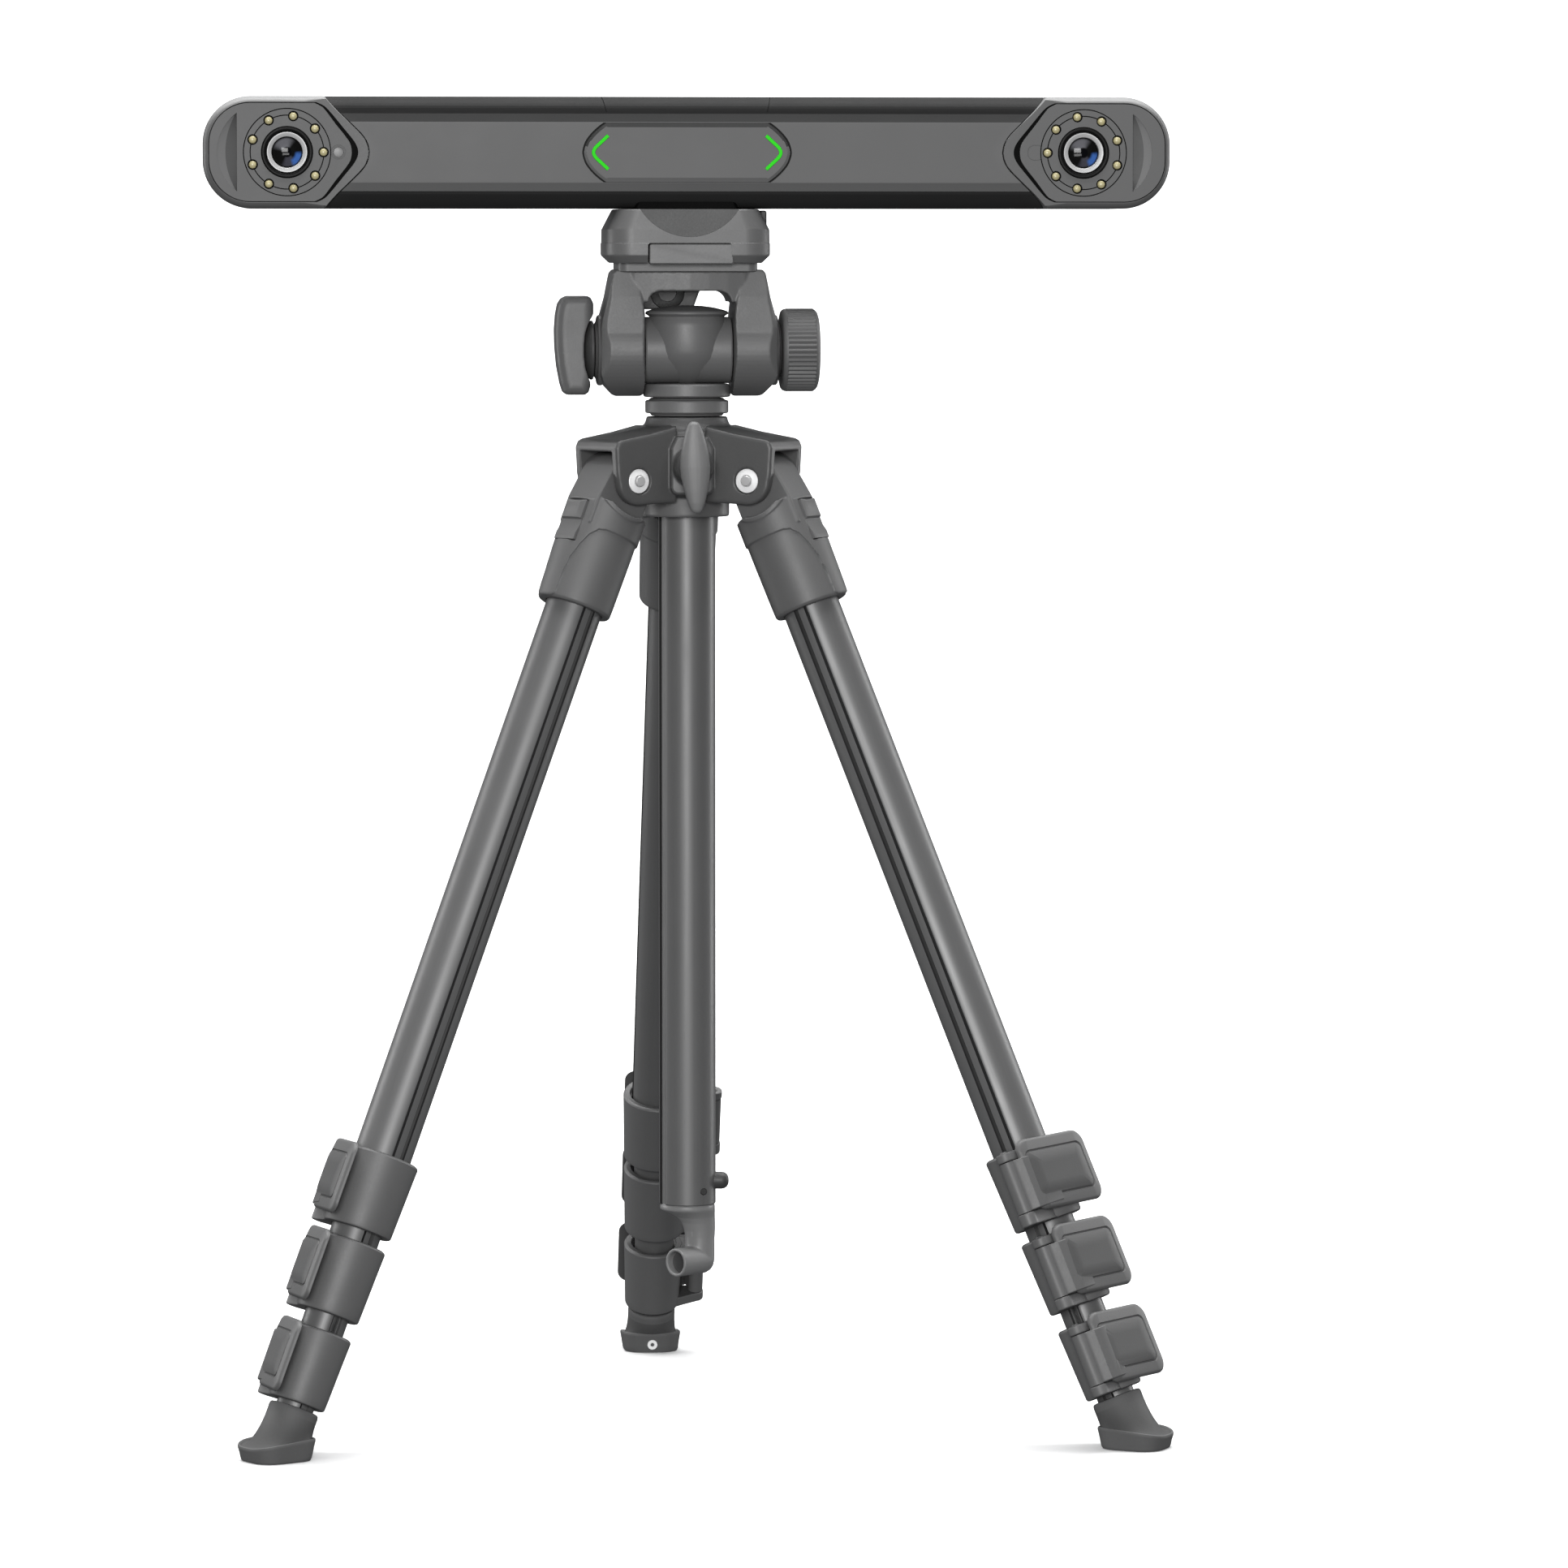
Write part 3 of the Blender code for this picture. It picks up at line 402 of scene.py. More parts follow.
M = {
    "strip": finish_of("strip_grey", grey(98), 0.50, bump=0.05, wear=0.15, spec=0.2),
    # shell: the housing's grey painted dark as shade on its rounded top and bottom bands (also used on the rear cover)
    "shell": finish_of("shell_painted_shade", grey(34), 0.5, bump=0.05, vary=0.15, wear=0.1, spec=0.06),
    # facets: copies of the strip's grey for light and shade; the upper painted dark as shade, the lower kept near the
    # strip's grey
    "facet": finish_of("facet_upper_painted_shade", grey(54), 0.5, bump=0.05, wear=0.1, spec=0.15),
    "facetlow": finish_of("facet_lower", grey(92), 0.5, bump=0.05, wear=0.1, spec=0.2),
    "cap": finish_of("cap_grey", grey(93), 0.42, spec=0.2, bump=0.05, wear=0.2),
    "plate": finish_of("face_grey", grey(99), 0.5, bump=0.06, spec=0.2),
    "panel": finish_of("panel_grey", grey(98), 0.5, bump=0.05, wear=0.15, spec=0.2),
    # near-black: the mount foot's plastic, painted black as the shade of the recess under the bar
    "black": finish_of("black_plastic_and_recess_shade", grey(8), 0.6, bump=0.05, vary=0.2, spec=0.04),
    # the seam gasket's own black, also used as painted shade in the face grooves and behind the LED holes
    "gasket": finish_of("black_gasket_and_recess_shade", grey(8), 0.6, bump=0.08, vary=0.25, spec=0.05),
    "cast": finish_of("cast_grey", grey(96), 0.47, grain=1100, bump=0.10, wear=0.25),
    "crown": finish_of("cast_crown", grey(78), 0.44, grain=1100, bump=0.10, wear=0.35),
    "castmid": finish_of("cast_mid", grey(100), 0.46, grain=1100, bump=0.10, wear=0.25),
    # cast grey painted darker as shade, for recesses
    "cast_recess_shade": finish_of("cast_painted_shade", grey(62), 0.50, grain=1100, bump=0.10, wear=0.2),
    "collar": finish_of("moulded_collar", grey(96), 0.50, grain=1300, bump=0.09, wear=0.25),
    "hook": finish_of("moulded_hook", grey(124), 0.40, grain=1300, bump=0.07, wear=0.2),
    # grey painted dark as shade on the walls of the tube grooves
    "groove_shade": finish_of("tube_groove_painted_shade", grey(34), 0.5, grain=900, stretch=(1, 1, 0.012), bump=0.025, vary=0.05, spec=0.2),
    "wing": finish_of("knob_wing", grey(112), 0.5, grain=1300, bump=0.09, wear=0.25),
    "mould": finish_of("moulded_grey", grey(90), 0.50, grain=1300, bump=0.09, wear=0.25),
    "moulddark": finish_of("moulded_dark", grey(58), 0.52, grain=1300, bump=0.09, wear=0.2),
    "tube": finish_of("satin_tube", grey(102), 0.42, metal=0.25, grain=900, stretch=(1, 1, 0.012), bump=0.025, vary=0.05, spread=0.05),
    "pad": finish_of("lever_pad", grey(76), 0.55, grain=1300, bump=0.09, wear=0.1),
    "lever": finish_of("lever_grey", grey(90), 0.5, grain=1300, bump=0.09, wear=0.25),
    # scoop: the face grey painted darker as shade on the scoop's deeper slope, and lighter on its outer band
    "scoop": finish_of("scoop_painted_shade", grey(80), 0.5, bump=0.06, spec=0.2),
    "scooplit": finish_of("scoop_rim_painted_light", grey(107), 0.5, bump=0.06, spec=0.2),
    "pinhead": finish_of("pin_steel", grey(196), 0.35, metal=0.25, grain=1200, bump=0.02, vary=0.05),
    "fork": finish_of("cast_fork", grey(91), 0.46, grain=1100, bump=0.10, wear=0.25),
    "eye": finish_of("stop_ring", grey(26), 0.45, grain=1100, bump=0.08, wear=0.2, spec=0.3),
    "knob": finish_of("knob_grey", grey(94), 0.5, grain=1300, bump=0.09, wear=0.25),
    "rubber": finish_of("foot_rubber", grey(94), 0.68, grain=700, bump=0.16, vary=0.12, wear=0.1, spec=0.3),
    "steel": finish_of("bright_steel", grey(253), 0.42, metal=0.1, grain=1200, bump=0.02, vary=0.05, spread=0.06),
    "silver": finish_of("lens_ring_silver", grey(186), 0.42, metal=0.15, grain=1600, bump=0.03, vary=0.04, spread=0.05),
    "barrel": finish_of("lens_barrel", grey(14), 0.45, grain=1800, bump=0.05, vary=0.15, spec=0.12),
    "led": finish_of("led_epoxy", (0.50, 0.45, 0.25), 0.34, grain=1500, bump=0.03, vary=0.06, coat=0.3),
    "sensor": finish_of("sensor_window", grey(120), 0.40, bump=0.04),
    "board": finish_of("board_green", (0.02, 0.10, 0.05), 0.45, grain=500, bump=0.1, vary=0.2),
    "beam": finish_of("beam_metal", grey(150), 0.35, metal=0.9, grain=900, stretch=(0.02, 1, 1), bump=0.03),
}


def light_finish():
    m = finish_of("status_green", (0.030, 0.62, 0.016), 0.5, grain=900, bump=0.03, vary=0.08, spec=0.08)
    nt = m.node_tree
    b = nt.nodes["Principled BSDF"]
    src = b.inputs["Base Color"].links[0].from_socket
    nt.links.new(src, b.inputs["Emission Color"])
    b.inputs["Emission Strength"].default_value = 0.12
    return m


def glass_finish():
    """Dark coated glass seen into: a black pupil, a paler wedge at the upper left painted as a reflection, a darker
    lower sector painted as shade and a blue fleck painted as the coating's reflection.
    """
    m = finish_of("coated_glass", grey(16), 0.06, grain=60, bump=0.0, vary=0.3, blotch=250, coat=0.0, spec=0.14, spread=0.02)
    nt = m.node_tree
    b = nt.nodes["Principled BSDF"]
    base = b.inputs["Base Color"].links[0].from_socket
    tc = wire(nt, "ShaderNodeTexCoord")
    xyz = wire(nt, "ShaderNodeSeparateXYZ", {"Vector": tc.outputs["Object"]})

    def math_(op, a, c=None):
        n = wire(nt, "ShaderNodeMath", operation=op)
        for i, v in enumerate((a, c)):
            if v is None:
                continue
            if isinstance(v, bpy.types.NodeSocket):
                nt.links.new(v, n.inputs[i])
            else:
                n.inputs[i].default_value = v
        return n.outputs[0]

    def band(v, lo, hi, a=0.0, c=1.0):
        return wire(nt, "ShaderNodeMapRange", {"Value": v, "From Min": lo, "From Max": hi, "To Min": a, "To Max": c},
                    interpolation_type="SMOOTHSTEP").outputs["Result"]

    x, z = xyz.outputs["X"], xyz.outputs["Z"]
    r = math_("SQRT", math_("ADD", math_("MULTIPLY", x, x), math_("MULTIPLY", z, z)))

    def toward(ax, az):
        return math_("DIVIDE", math_("ADD", math_("MULTIPLY", x, ax), math_("MULTIPLY", z, az)), math_("ADD", r, 1e-6))

    def blend(prev, colour, fac):
        n = wire(nt, "ShaderNodeMix", data_type="RGBA")
        nt.links.new(fac, n.inputs["Factor"])
        for s in n.inputs:
            if s.type == "RGBA" and s.name == "A":
                nt.links.new(prev, s)
            if s.type == "RGBA" and s.name == "B":
                s.default_value = colour + (1,)
        return [s for s in n.outputs if s.type == "RGBA"][0]

    # a paler wedge at the upper left painted as a reflection, a darker lower sector painted as shade
    ring = math_("MULTIPLY", band(r, 0.0022, 0.0032), band(r, 0.0079, 0.0066))
    out = blend(base, (0.15, 0.15, 0.165), math_("MULTIPLY", ring, band(toward(-0.35, 0.94), 0.45, 0.98)))
    out = blend(out, (0.055, 0.055, 0.07), math_("MULTIPLY", ring, band(toward(0.25, -0.97), 0.72, 0.98)))
    # a blue crescent near the lower right rim painted as the coating's reflection
    blue_reflection = math_("MULTIPLY", math_("MULTIPLY", band(r, 0.0036, 0.0056), band(r, 0.0080, 0.0070)), band(toward(0.84, -0.54), 0.76, 0.96))
    out = blend(out, (0.05, 0.14, 0.44), blue_reflection)
    out = blend(out, (0.002, 0.002, 0.003), band(r, 0.0026, 0.0021))
    nt.links.new(out, b.inputs["Base Color"])
    return m


def paint_shading(m, lo, hi, gain, src="Normal", axis="Z"):
    """Paint light or shade into a finish's colour: scale it by how far a surface faces up (or by its height), gain at
    hi, unchanged at lo.
    """
    nt = m.node_tree
    b = nt.nodes["Principled BSDF"]
    base = b.inputs["Base Color"].links[0].from_socket
    if src == "Normal":
        v = wire(nt, "ShaderNodeNewGeometry").outputs["Normal"]
    else:
        v = wire(nt, "ShaderNodeTexCoord").outputs["Object"]
    q = wire(nt, "ShaderNodeSeparateXYZ", {"Vector": v})
    f = wire(nt, "ShaderNodeMapRange", {"Value": q.outputs[axis], "From Min": lo, "From Max": hi, "To Min": 1.0, "To Max": gain},
             interpolation_type="SMOOTHSTEP")
    mul = wire(nt, "ShaderNodeVectorMath", operation="SCALE")
    nt.links.new(base, mul.inputs[0])
    nt.links.new(f.outputs["Result"], mul.inputs["Scale"])
    nt.links.new(mul.outputs["Vector"], b.inputs["Base Color"])
    return m


# the cap's grey with a painted highlight: faces turned up are painted up to 1.9 times brighter
M["caprim"] = M["cap"].copy()
M["caprim"].name = "cap_rim_painted_highlight"
paint_shading(M["caprim"], 0.25, 0.75, 1.9)
# the crown's upward faces painted darker as shade
paint_shading(M["crown"], 0.25, 0.85, 0.42)
# the collars' upward faces painted darker as shade
paint_shading(M["collar"], 0.45, 0.85, 0.48)
# the shell's downward faces painted lighter, as light from below
paint_shading(M["shell"], -0.2, -0.8, 1.35)
# foot flare: rubber grey painted darker towards its low end, as shade in the hollow
M["hollow"] = paint_shading(finish_of("foot_hollow_painted_shade", grey(94), 0.68, grain=700, bump=0.16, vary=0.12, spec=0.3), 0.026, 0.012, 0.62, "Object")
M["light"] = light_finish()
M["glass"] = glass_finish()


# ---------------------------------------------------------------- tracker bar
SEAM = [(0, 165.8), (3.5, 166.3), (7.0, 167.8), (10.0, 170.2), (13.0, 173.2), (16.5, 176.8), (19.7, 180.2), (23.0, 183.5),
        (26.5, 186.7), (29.25, 189.0)]


def seam(z):
    return lerp(SEAM, abs(z))


def bar_shape(half, thick, grow):
    """Hollow bar: half = (y, z) of the upper outside from the back edge to the middle of the front."""
    out = half + [(y, -z) for y, z in half[-2::-1]]
    back = half[0][0]
    inn = []
    for y, z in out:
        inn.append((min(back, y + thick), z * (BH - thick) / BH))
    cols = 49
    n = len(out)
    verts, faces, front = [], [], []
    for i in range(cols):
        t = -1 + 2 * i / (cols - 1)
        for prof in (out, inn):
            for (y, z), (_, zo) in zip(prof, out):
                verts.append((t * (seam(zo) + grow), y, BZ + z))
    at = lambda i, k, j: i * 2 * n + k * n + j
    for i in range(cols - 1):
        for j in range(n - 1):
            faces.append((at(i, 0, j), at(i + 1, 0, j), at(i + 1, 0, j + 1), at(i, 0, j + 1)))
            front.append(1 if abs((out[j][1] + out[j + 1][1]) / 2) < 15.7 else 0)
            faces.append((at(i, 1, j), at(i + 1, 1, j), at(i + 1, 1, j + 1), at(i, 1, j + 1)))
            front.append(0)
        for j in (0, n - 1):
            faces.append((at(i, 0, j), at(i + 1, 0, j), at(i + 1, 1, j), at(i, 1, j)))
            front.append(0)
    for i in (0, cols - 1):
        for j in range(n - 1):
            faces.append((at(i, 0, j), at(i, 0, j + 1), at(i, 1, j + 1), at(i, 1, j)))
            front.append(0)
    ob = make(verts, faces)
    # front strip, the upper facet painted dark as shade and the lower facet; the rest takes the shell's painted shade
    for p in ob.data.polygons:
        c = p.center / MM
        z = abs(c.z - BZ)
        if c.y < -26.5 and p.normal.y < -0.9 and z < 20.25:
            p.material_index = 1 if z < 15.8 else (2 if c.z > BZ else 3)
    return ob


half = [(22, 29.25), (8, 29.25), (-6, 29.25), (-14.5, 29.25)]
half += [(-14.5 - 12.1 * math.cos(math.radians(a)), 20.2 + 9.05 * math.sin(math.radians(a))) for a in range(82, 3, -8)]
half += [(-26.6, 20.2), (-27.2, 18.2), (-27.8, 16.25), (-27.95, 15.85), (-28.0, 15.5)]
half += [(-28.0, z) for z in (14, 12, 10, 8, 6, 4, 2, 0)]
shell = bar_shape(half, 3.4, 0.0)
NOSE = [(42.4, 15.45), (45.7, 13.1), (48.7, 10.4), (51.0, 7.8), (52.6, 5.4), (53.7, 2.4), (54.1, 0.0)]
NOSE = NOSE + [(x, -z) for x, z in NOSE[-2::-1]]
HEX = [(-x, z) for x, z in curve(NOSE, 3)] + curve(NOSE[::-1], 3)
HEX_W = [0.05 if abs(x) < 42.6 else 1.0 for x, z in HEX]
lift = lambda pts: [(x, BZ + z) for x, z in pts]
pocket = prism(lift(inset(HEX, [-0.85 * w - 0.02 for w in HEX_W])), -40, -26.2, "XZ")
marks = []
for s in (-1, 1):
    marks.append(prism([(s * 44.2, BZ + 30), (s * 44.75, BZ + 30), (s * 42.4, BZ + 21), (s * 41.9, BZ + 21)], -27.4, 30, "XZ"))
inner = bar_shape([(y + (0.5 if y < 0 else 0), z - 0.5 if z > 0.6 else z) for y, z in half], 3.0, 20)
for mk in marks:
    cut(mk, copy_of(inner))
bpy.data.objects.remove(inner, do_unlink=True)
cut(shell, pocket, *marks)
shade(shell, 9)
dress(shell, "tracker_housing_skin", "tilt", [M["shell"], M["strip"], M["facet"], M["facetlow"]], "tracker_housing", BAR)

# centre panel with its two lights
steps = [(0.0, -26.4, 0.0), (0.0, -27.75, 0.0), (0.12, -28.0, 0.12), (2.05, -28.62, 1.3), (2.3, -28.7, 1.6)]
panel = loft([[(x, y, BZ + z) for x, z in inset(HEX, [dt if abs(px) < 42.6 else dn for px, pz in HEX])] for dt, y, dn in steps])


def ribbon(s, w):
    mid = curve([(s * 41.4, 8.8), (s * 44.6, 5.8), (s * 47.6, 3.0), (s * 48.7, 1.5), (s * 49.1, 0), (s * 48.7, -1.5), (s * 47.6, -3.0),
                 (s * 44.6, -5.8), (s * 41.4, -8.8)], 5)
    left, right = [], []
    for i, (x, z) in enumerate(mid):
        a, b = mid[max(i - 1, 0)], mid[min(i + 1, len(mid) - 1)]
        l = math.hypot(b[0] - a[0], b[1] - a[1])
        nx, nz = -(b[1] - a[1]) / l, (b[0] - a[0]) / l
        left.append((x + nx * w, z + nz * w))
        right.append((x - nx * w, z - nz * w))
    return lift(left + right[::-1])


for s in (-1, 1):
    cut(panel, prism(ribbon(s, 0.98), -32, -27.4, "XZ"))
# the panel's upward bevels take the facet grey, painted dark as shade
for p in panel.data.polygons:
    p.material_index = 1 if p.normal.z > 0.15 else 0
shade(panel, 16)
dress(panel, "center_panel_skin", "tilt", [M["panel"], M["facet"]], "center_panel", BAR)
for s, side in ((-1, "left"), (1, "right")):
    o = plate(ribbon(s, 0.9), -27.45, -28.85, "XZ", 0.0, 0.25, 2)
    dress(shade(o, 40), side + "_status_light_skin", "tilt", M["light"], side + "_status_light", BAR)

# rear cover (not in view): a recessed panel, vents and screws
half = [(22.3, 29.25), (23.6, 28.9), (25.2, 27.8), (26.6, 26.2), (27.6, 24.0), (28.0, 21.5)] + [(28.0, z) for z in (18, 14, 10, 6, 3, 0)]
rows = half + [(y, -z) for y, z in half[-2::-1]]
n = len(rows)
ring = rows + [(22.3, z) for y, z in rows[-2:0:-1]]
m = len(ring)
verts = [((-1 + 2 * i / 40) * seam(z), y, BZ + z) for i in range(41) for y, z in ring]
faces = [(i * m + j, i * m + (j + 1) % m, (i + 1) * m + (j + 1) % m, (i + 1) * m + j) for i in range(40) for j in range(m)]
for b in (0, 40 * m):
    e = [b + 2 * n - 2 - j for j in range(n)]
    faces += [(b, b + 1, e[1])] + [(b + j, b + j + 1, e[j + 1], e[j]) for j in range(1, n - 2)] + [(b + n - 2, b + n - 1, e[n - 2])]
rear = make(verts, faces)
cuts = [plate(rrect(0, BZ, 62, 15, 4), 27.0, 34, "XZ", 0.6, 0)]
for s in (-1, 1):
    for k in range(9):
        cuts.append(prism(rrect(s * (84 + 6.5 * k), BZ, 1.5, 12, 1.45, 3), 26.0, 34, "XZ"))
    for x in (74, 156):
        for z in (-21.2, 21.2):
            cuts.append(lathe([(2.9, -34), (2.9, -26.4)], 24, "-y", (s * x, 0, BZ + z)))
cut(rear, *cuts)
dress(shade(rear, 24), "tracker_rear_cover_skin", "tilt", M["shell"], "tracker_rear_cover", BAR)
screws = []
for s in (-1, 1):
    for x in (74, 156):
        for z in (-21.2, 21.2):
            q = lathe([(0, -27.6), (1.6, -27.55), (2.4, -27.1), (2.5, -26.45), (0, -26.45)], 20, "-y", (s * x, 0, BZ + z))
            cut(q, lathe([(1.1, -29), (1.1, -26.9)], 6, "-y", (s * x, 0, BZ + z)))
            screws.append(q)
dress(shade(group(*screws), 35), "rear_cover_screws", "tilt", M["steel"], place=BAR)

# camera caps, drawn for the right one
zs = [28, 26.5, 24.5, 22, 19.7, 17, 14, 11, 8.5, 7, 5, 3, 1.5, 0]
chev = [(seam(z) + 0.3, z) for z in zs] + [(seam(z) + 0.3, -z) for z in zs[-2::-1]]
ring_steps = [(6.0, 28.0), (4.2, 27.8), (2.2, 26.8), (0.8, 25.0), (0.2, 23.2), (0.0, 21.0), (0.0, -23.2), (0.2, -24.6), (0.75, -26.1),
              (1.5, -27.3), (2.3, -28.05), (3.0, -28.4)]
FACE_C = curve([(194.6, 25.6), (191.8, 24.3), (189.2, 22.2), (183.5, 14.6), (178.4, 8.2), (175.9, 4.2), (175.2, 0), (175.9, -4.2), (178.4, -8.2),
                (183.5, -14.6), (189.2, -22.2), (191.8, -24.3), (194.6, -25.6)], 4)
POCK_C = curve([(193.6, 25.95), (189.4, 23.9), (185.6, 20), (179.6, 12.7), (174.6, 6.6), (172.5, 3.0), (171.9, 0), (172.5, -3.0), (174.6, -6.6),
                (179.6, -12.7), (185.6, -20), (189.4, -23.9), (193.6, -25.95)], 4)
ANG = [math.radians(180 + 40 * k) for k in range(9)]
LEDS = [(LENS_X + 19.0 * math.cos(a), 19.0 * math.sin(a)) for a in ANG]


def ring_cut(r0, r1, depth, x=LENS_X, z=0.0):
    return lathe([(r0, 40), (r1, 40), (r1, 28.36 - depth), (r0, 28.36 - depth)], 96, "-y", (x, 0, BZ + z), loop=True)


for s, side in ((1, "right"), (-1, "left")):
    end_x = 255.3 if s > 0 else 252.7
    edge_pts = [(189.3, -29.25), (200, -29.25), (212, -29.25), (222, -29.25)]
    edge_pts += arc(end_x - 25, -4.25, 25, -90, 0, 18) + arc(end_x - 25, 4.25, 25, 0, 90, 18) + [(222, 29.25), (212, 29.25), (200, 29.25), (189.3, 29.25)]
    CAP = edge_pts + chev
    CAP_W = [1.0] * len(edge_pts) + [0.16] * len(chev)
    CAP_W[0] = CAP_W[len(edge_pts) - 1] = 0.55
    CAP_B = [1.0] * len(edge_pts) + [0.16 + 0.40 * max(0.0, abs(z) - 14.0) / 14.0 for x, z in chev]
    CAP_B[0] = CAP_B[len(edge_pts) - 1] = 0.62
    FACE = [(206, -25.6), (218, -25.6)] + arc(end_x - 24.65, -4.25, 21.35, -90, 0, 16) + arc(end_x - 24.65, 4.25, 21.35, 0, 90, 16) + [(218, 25.6), (206, 25.6)] + FACE_C
    POCK = [(206, -25.95), (218, -25.95)] + arc(end_x - 24.65, -4.25, 21.7, -90, 0, 16) + arc(end_x - 24.65, 4.25, 21.7, 0, 90, 16) + [(218, 25.95), (206, 25.95)] + POCK_C
    body = loft([[(x - max(0.0, x - 215) * 0.115 * max(0.0, (y + 22) / 43), y, BZ + z) for x, z in inset(CAP, [d * w for w in (CAP_B if y > 0 else CAP_W)])] for d, y in ring_steps])
    cut(body, prism(lift(POCK), -40, -26.0, "XZ"), lathe([(13.65, 40), (13.65, -12)], 64, "-y", (LENS_X, 0, BZ)))
    cut(body, lathe([(23.4, 40), (23.4, 25.0)], 72, "-y", (LENS_X, 0, BZ)))
    # a black ring behind the LED holes: the LED board, painted black so the holes read dark as shade
    well = lathe([(13.8, 25.1), (23.3, 25.1), (23.3, 25.6), (13.8, 25.6)], 72, "-y", (LENS_X, 0, BZ), loop=True)
    gasket = cut(prism(lift(inset(POCK, 0.03)), -26.02, -27.0, "XZ"), prism(lift(inset(FACE, -0.06)), -20, -40, "XZ"))
    face = plate(lift(FACE), -26.05, -28.36, "XZ", 0.0, 0.3, 2)
    tools = [lathe([(13.6, 40), (13.6, 10)], 80, "-y", (LENS_X, 0, BZ)), ring_cut(18.9, 19.45, 1.1), ring_cut(22.4, 22.95, 1.1)]
    for x, z in LEDS:
        tools.append(lathe([(2.75, 40), (2.75, 10)], 28, "-y", (x, 0, BZ + z)))
    # thumb scoop: a small step at the outer arc, then the floor falls in two slopes to a wall at the chord
    n = 24
    f = [i / n for i in range(n + 1)]

    def sweep_(cx, r, half, zmax, depth):
        out = []
        for t in f:
            q = math.radians(-half + 2 * half * t)
            out.append((cx + r * math.cos(q), -28.36 + depth, BZ + zmax * math.sin(q) / math.sin(math.radians(half))))
        return out

    lines = [sweep_(219.7, 25.5, 53.13, 20.4, -2.0), sweep_(219.7, 25.5, 53.13, 20.4, 0.55), sweep_(201.0, 39.9, 30.7, 20.1, 1.15),
             [(235.0, -28.36 + 1.95, BZ + 19.9 * (2 * t - 1)) for t in f], [(234.9, -28.36 - 2.0, BZ + 20.2 * (2 * t - 1)) for t in f]]
    tools.append(loft([[l[k] for l in lines] for k in range(n + 1)]))
    if s < 0:
        tools.append(ring_cut(3.35, 3.95, 0.35, LENS_X - 26.7))
        tools.append(lathe([(2.85, 40), (2.85, 27.6)], 32, "-y", (LENS_X - 26.7, 0, BZ)))
    else:
        a = rrect(LENS_X - 25.2, BZ, 4.5, 4.1, 3.6)
        g = cut(prism(a, -40, -27.96, "XZ"), prism(inset(a, 0.45), -50, -20, "XZ"), lathe([(22.5, 60), (22.5, 10)], 64, "-y", (LENS_X, 0, BZ)))
        tools.append(g)
    cut(face, *tools)
    # the walls and floors of the two ring grooves take the black, painted shade in the grooves
    for p in face.data.polygons:
        c = p.center / MM
        d = math.hypot(c.x - LENS_X, c.z - BZ)
        p.material_index = 1 if -28.3 < c.y < -26.3 and (18.8 < d < 19.55 or 22.3 < d < 23.05) else 0
        # the scoop's deeper slope painted darker as shade, its outer band painted lighter
        if 234.6 < c.x < 246 and -28.0 < c.y < -26.1 and abs(c.z - BZ) < 20.5:
            p.material_index = 2 if c.y > -27.2 else 3
    domes = [lathe([(0, 28.85), (0.9, 28.74), (1.55, 28.4), (1.95, 27.9), (2.08, 27.3), (2.08, 25.2), (0, 25.2)], 24, "-y", (x, 0, BZ + z))
             for x, z in LEDS]
    domes = group(*domes)
    barrel = lathe([(10.6, -8), (13.35, -8), (13.35, 28.6), (13.15, 29.0), (12.7, 29.2), (11.9, 29.15), (11.2, 28.8), (10.8, 28.2), (10.6, 27.6)], 96, "-y", loop=True)
    ring = lathe([(8.1, 20), (10.5, 20), (10.5, 28.75), (10.35, 28.95), (9.9, 29.0), (8.5, 28.45), (8.2, 28.2), (8.1, 27.6)], 96, "-y", loop=True)
    glass = lathe([(0, 27.5), (2, 27.42), (4, 27.15), (6, 26.7), (7.4, 26.2), (8.05, 25.9), (8.05, 21), (0, 21)], 80, "-y")
    place = BAR @ Matrix.Translation((s * LENS_X * MM, 0, BZ * MM))
    parts = [body, gasket, face, domes, well]
    if s < 0:
        spot = lathe([(0, 28.2), (2.2, 28.15), (2.7, 27.95), (2.8, 27.65), (0, 27.62)], 32, "-y", (LENS_X - 26.7, 0, BZ))
        parts.append(spot)
        for p in parts:
            p.data.transform(Matrix.Diagonal((-1, 1, 1, 1)))
            p.data.flip_normals()
        dress(shade(spot, 35), "left_sensor_window", "tilt", M["sensor"], place=BAR)
    # the cap's front and rim faces take the copy with the painted top highlight
    for p in body.data.polygons:
        p.material_index = 1 if p.center.y < -22.6 * MM else 0
    dress(shade(body, 18), side + "_camera_cap_skin", "tilt", [M["cap"], M["caprim"]], side + "_camera_cap", BAR)
    dress(shade(gasket, 30), side + "_camera_cap_gasket", "tilt", M["gasket"], place=BAR)
    dress(shade(well, 30), side + "_led_board_and_hole_shade", "tilt", M["gasket"], place=BAR)
    dress(shade(face, 25), side + "_camera_cap_face", "tilt", [M["plate"], M["gasket"], M["scoop"], M["scooplit"]], place=BAR)
    dress(shade(domes, 40), side + "_led_ring_skin", "tilt", M["led"], side + "_led_ring", BAR)
    dress(shade(barrel, 35), side + "_camera_lens_skin", "tilt", M["barrel"], side + "_camera_lens", place)
    dress(shade(ring, 35), side + "_camera_lens_ring", "tilt", M["silver"], place=place)
    dress(shade(glass, 40), side + "_camera_lens_glass", "tilt", M["glass"], place=place)

# mount foot in near-black: its own plastic, painted black as the shade of the recess under the bar
foot = loft([[(x * w / 27.2, y, z) for x, y in inset(rrect(0, -3.1, 27.2, 21.1, 2.0, 4), d)] for w, z, d in
             ((26.6, 638.35, 0), (27.2, 638.9, 0), (24.5, 645.1, 0), (24.1, 645.4, 0))])
dress(shade(foot, 30), "mount_foot_skin", "tilt", M["black"], "mount_foot", BAR)


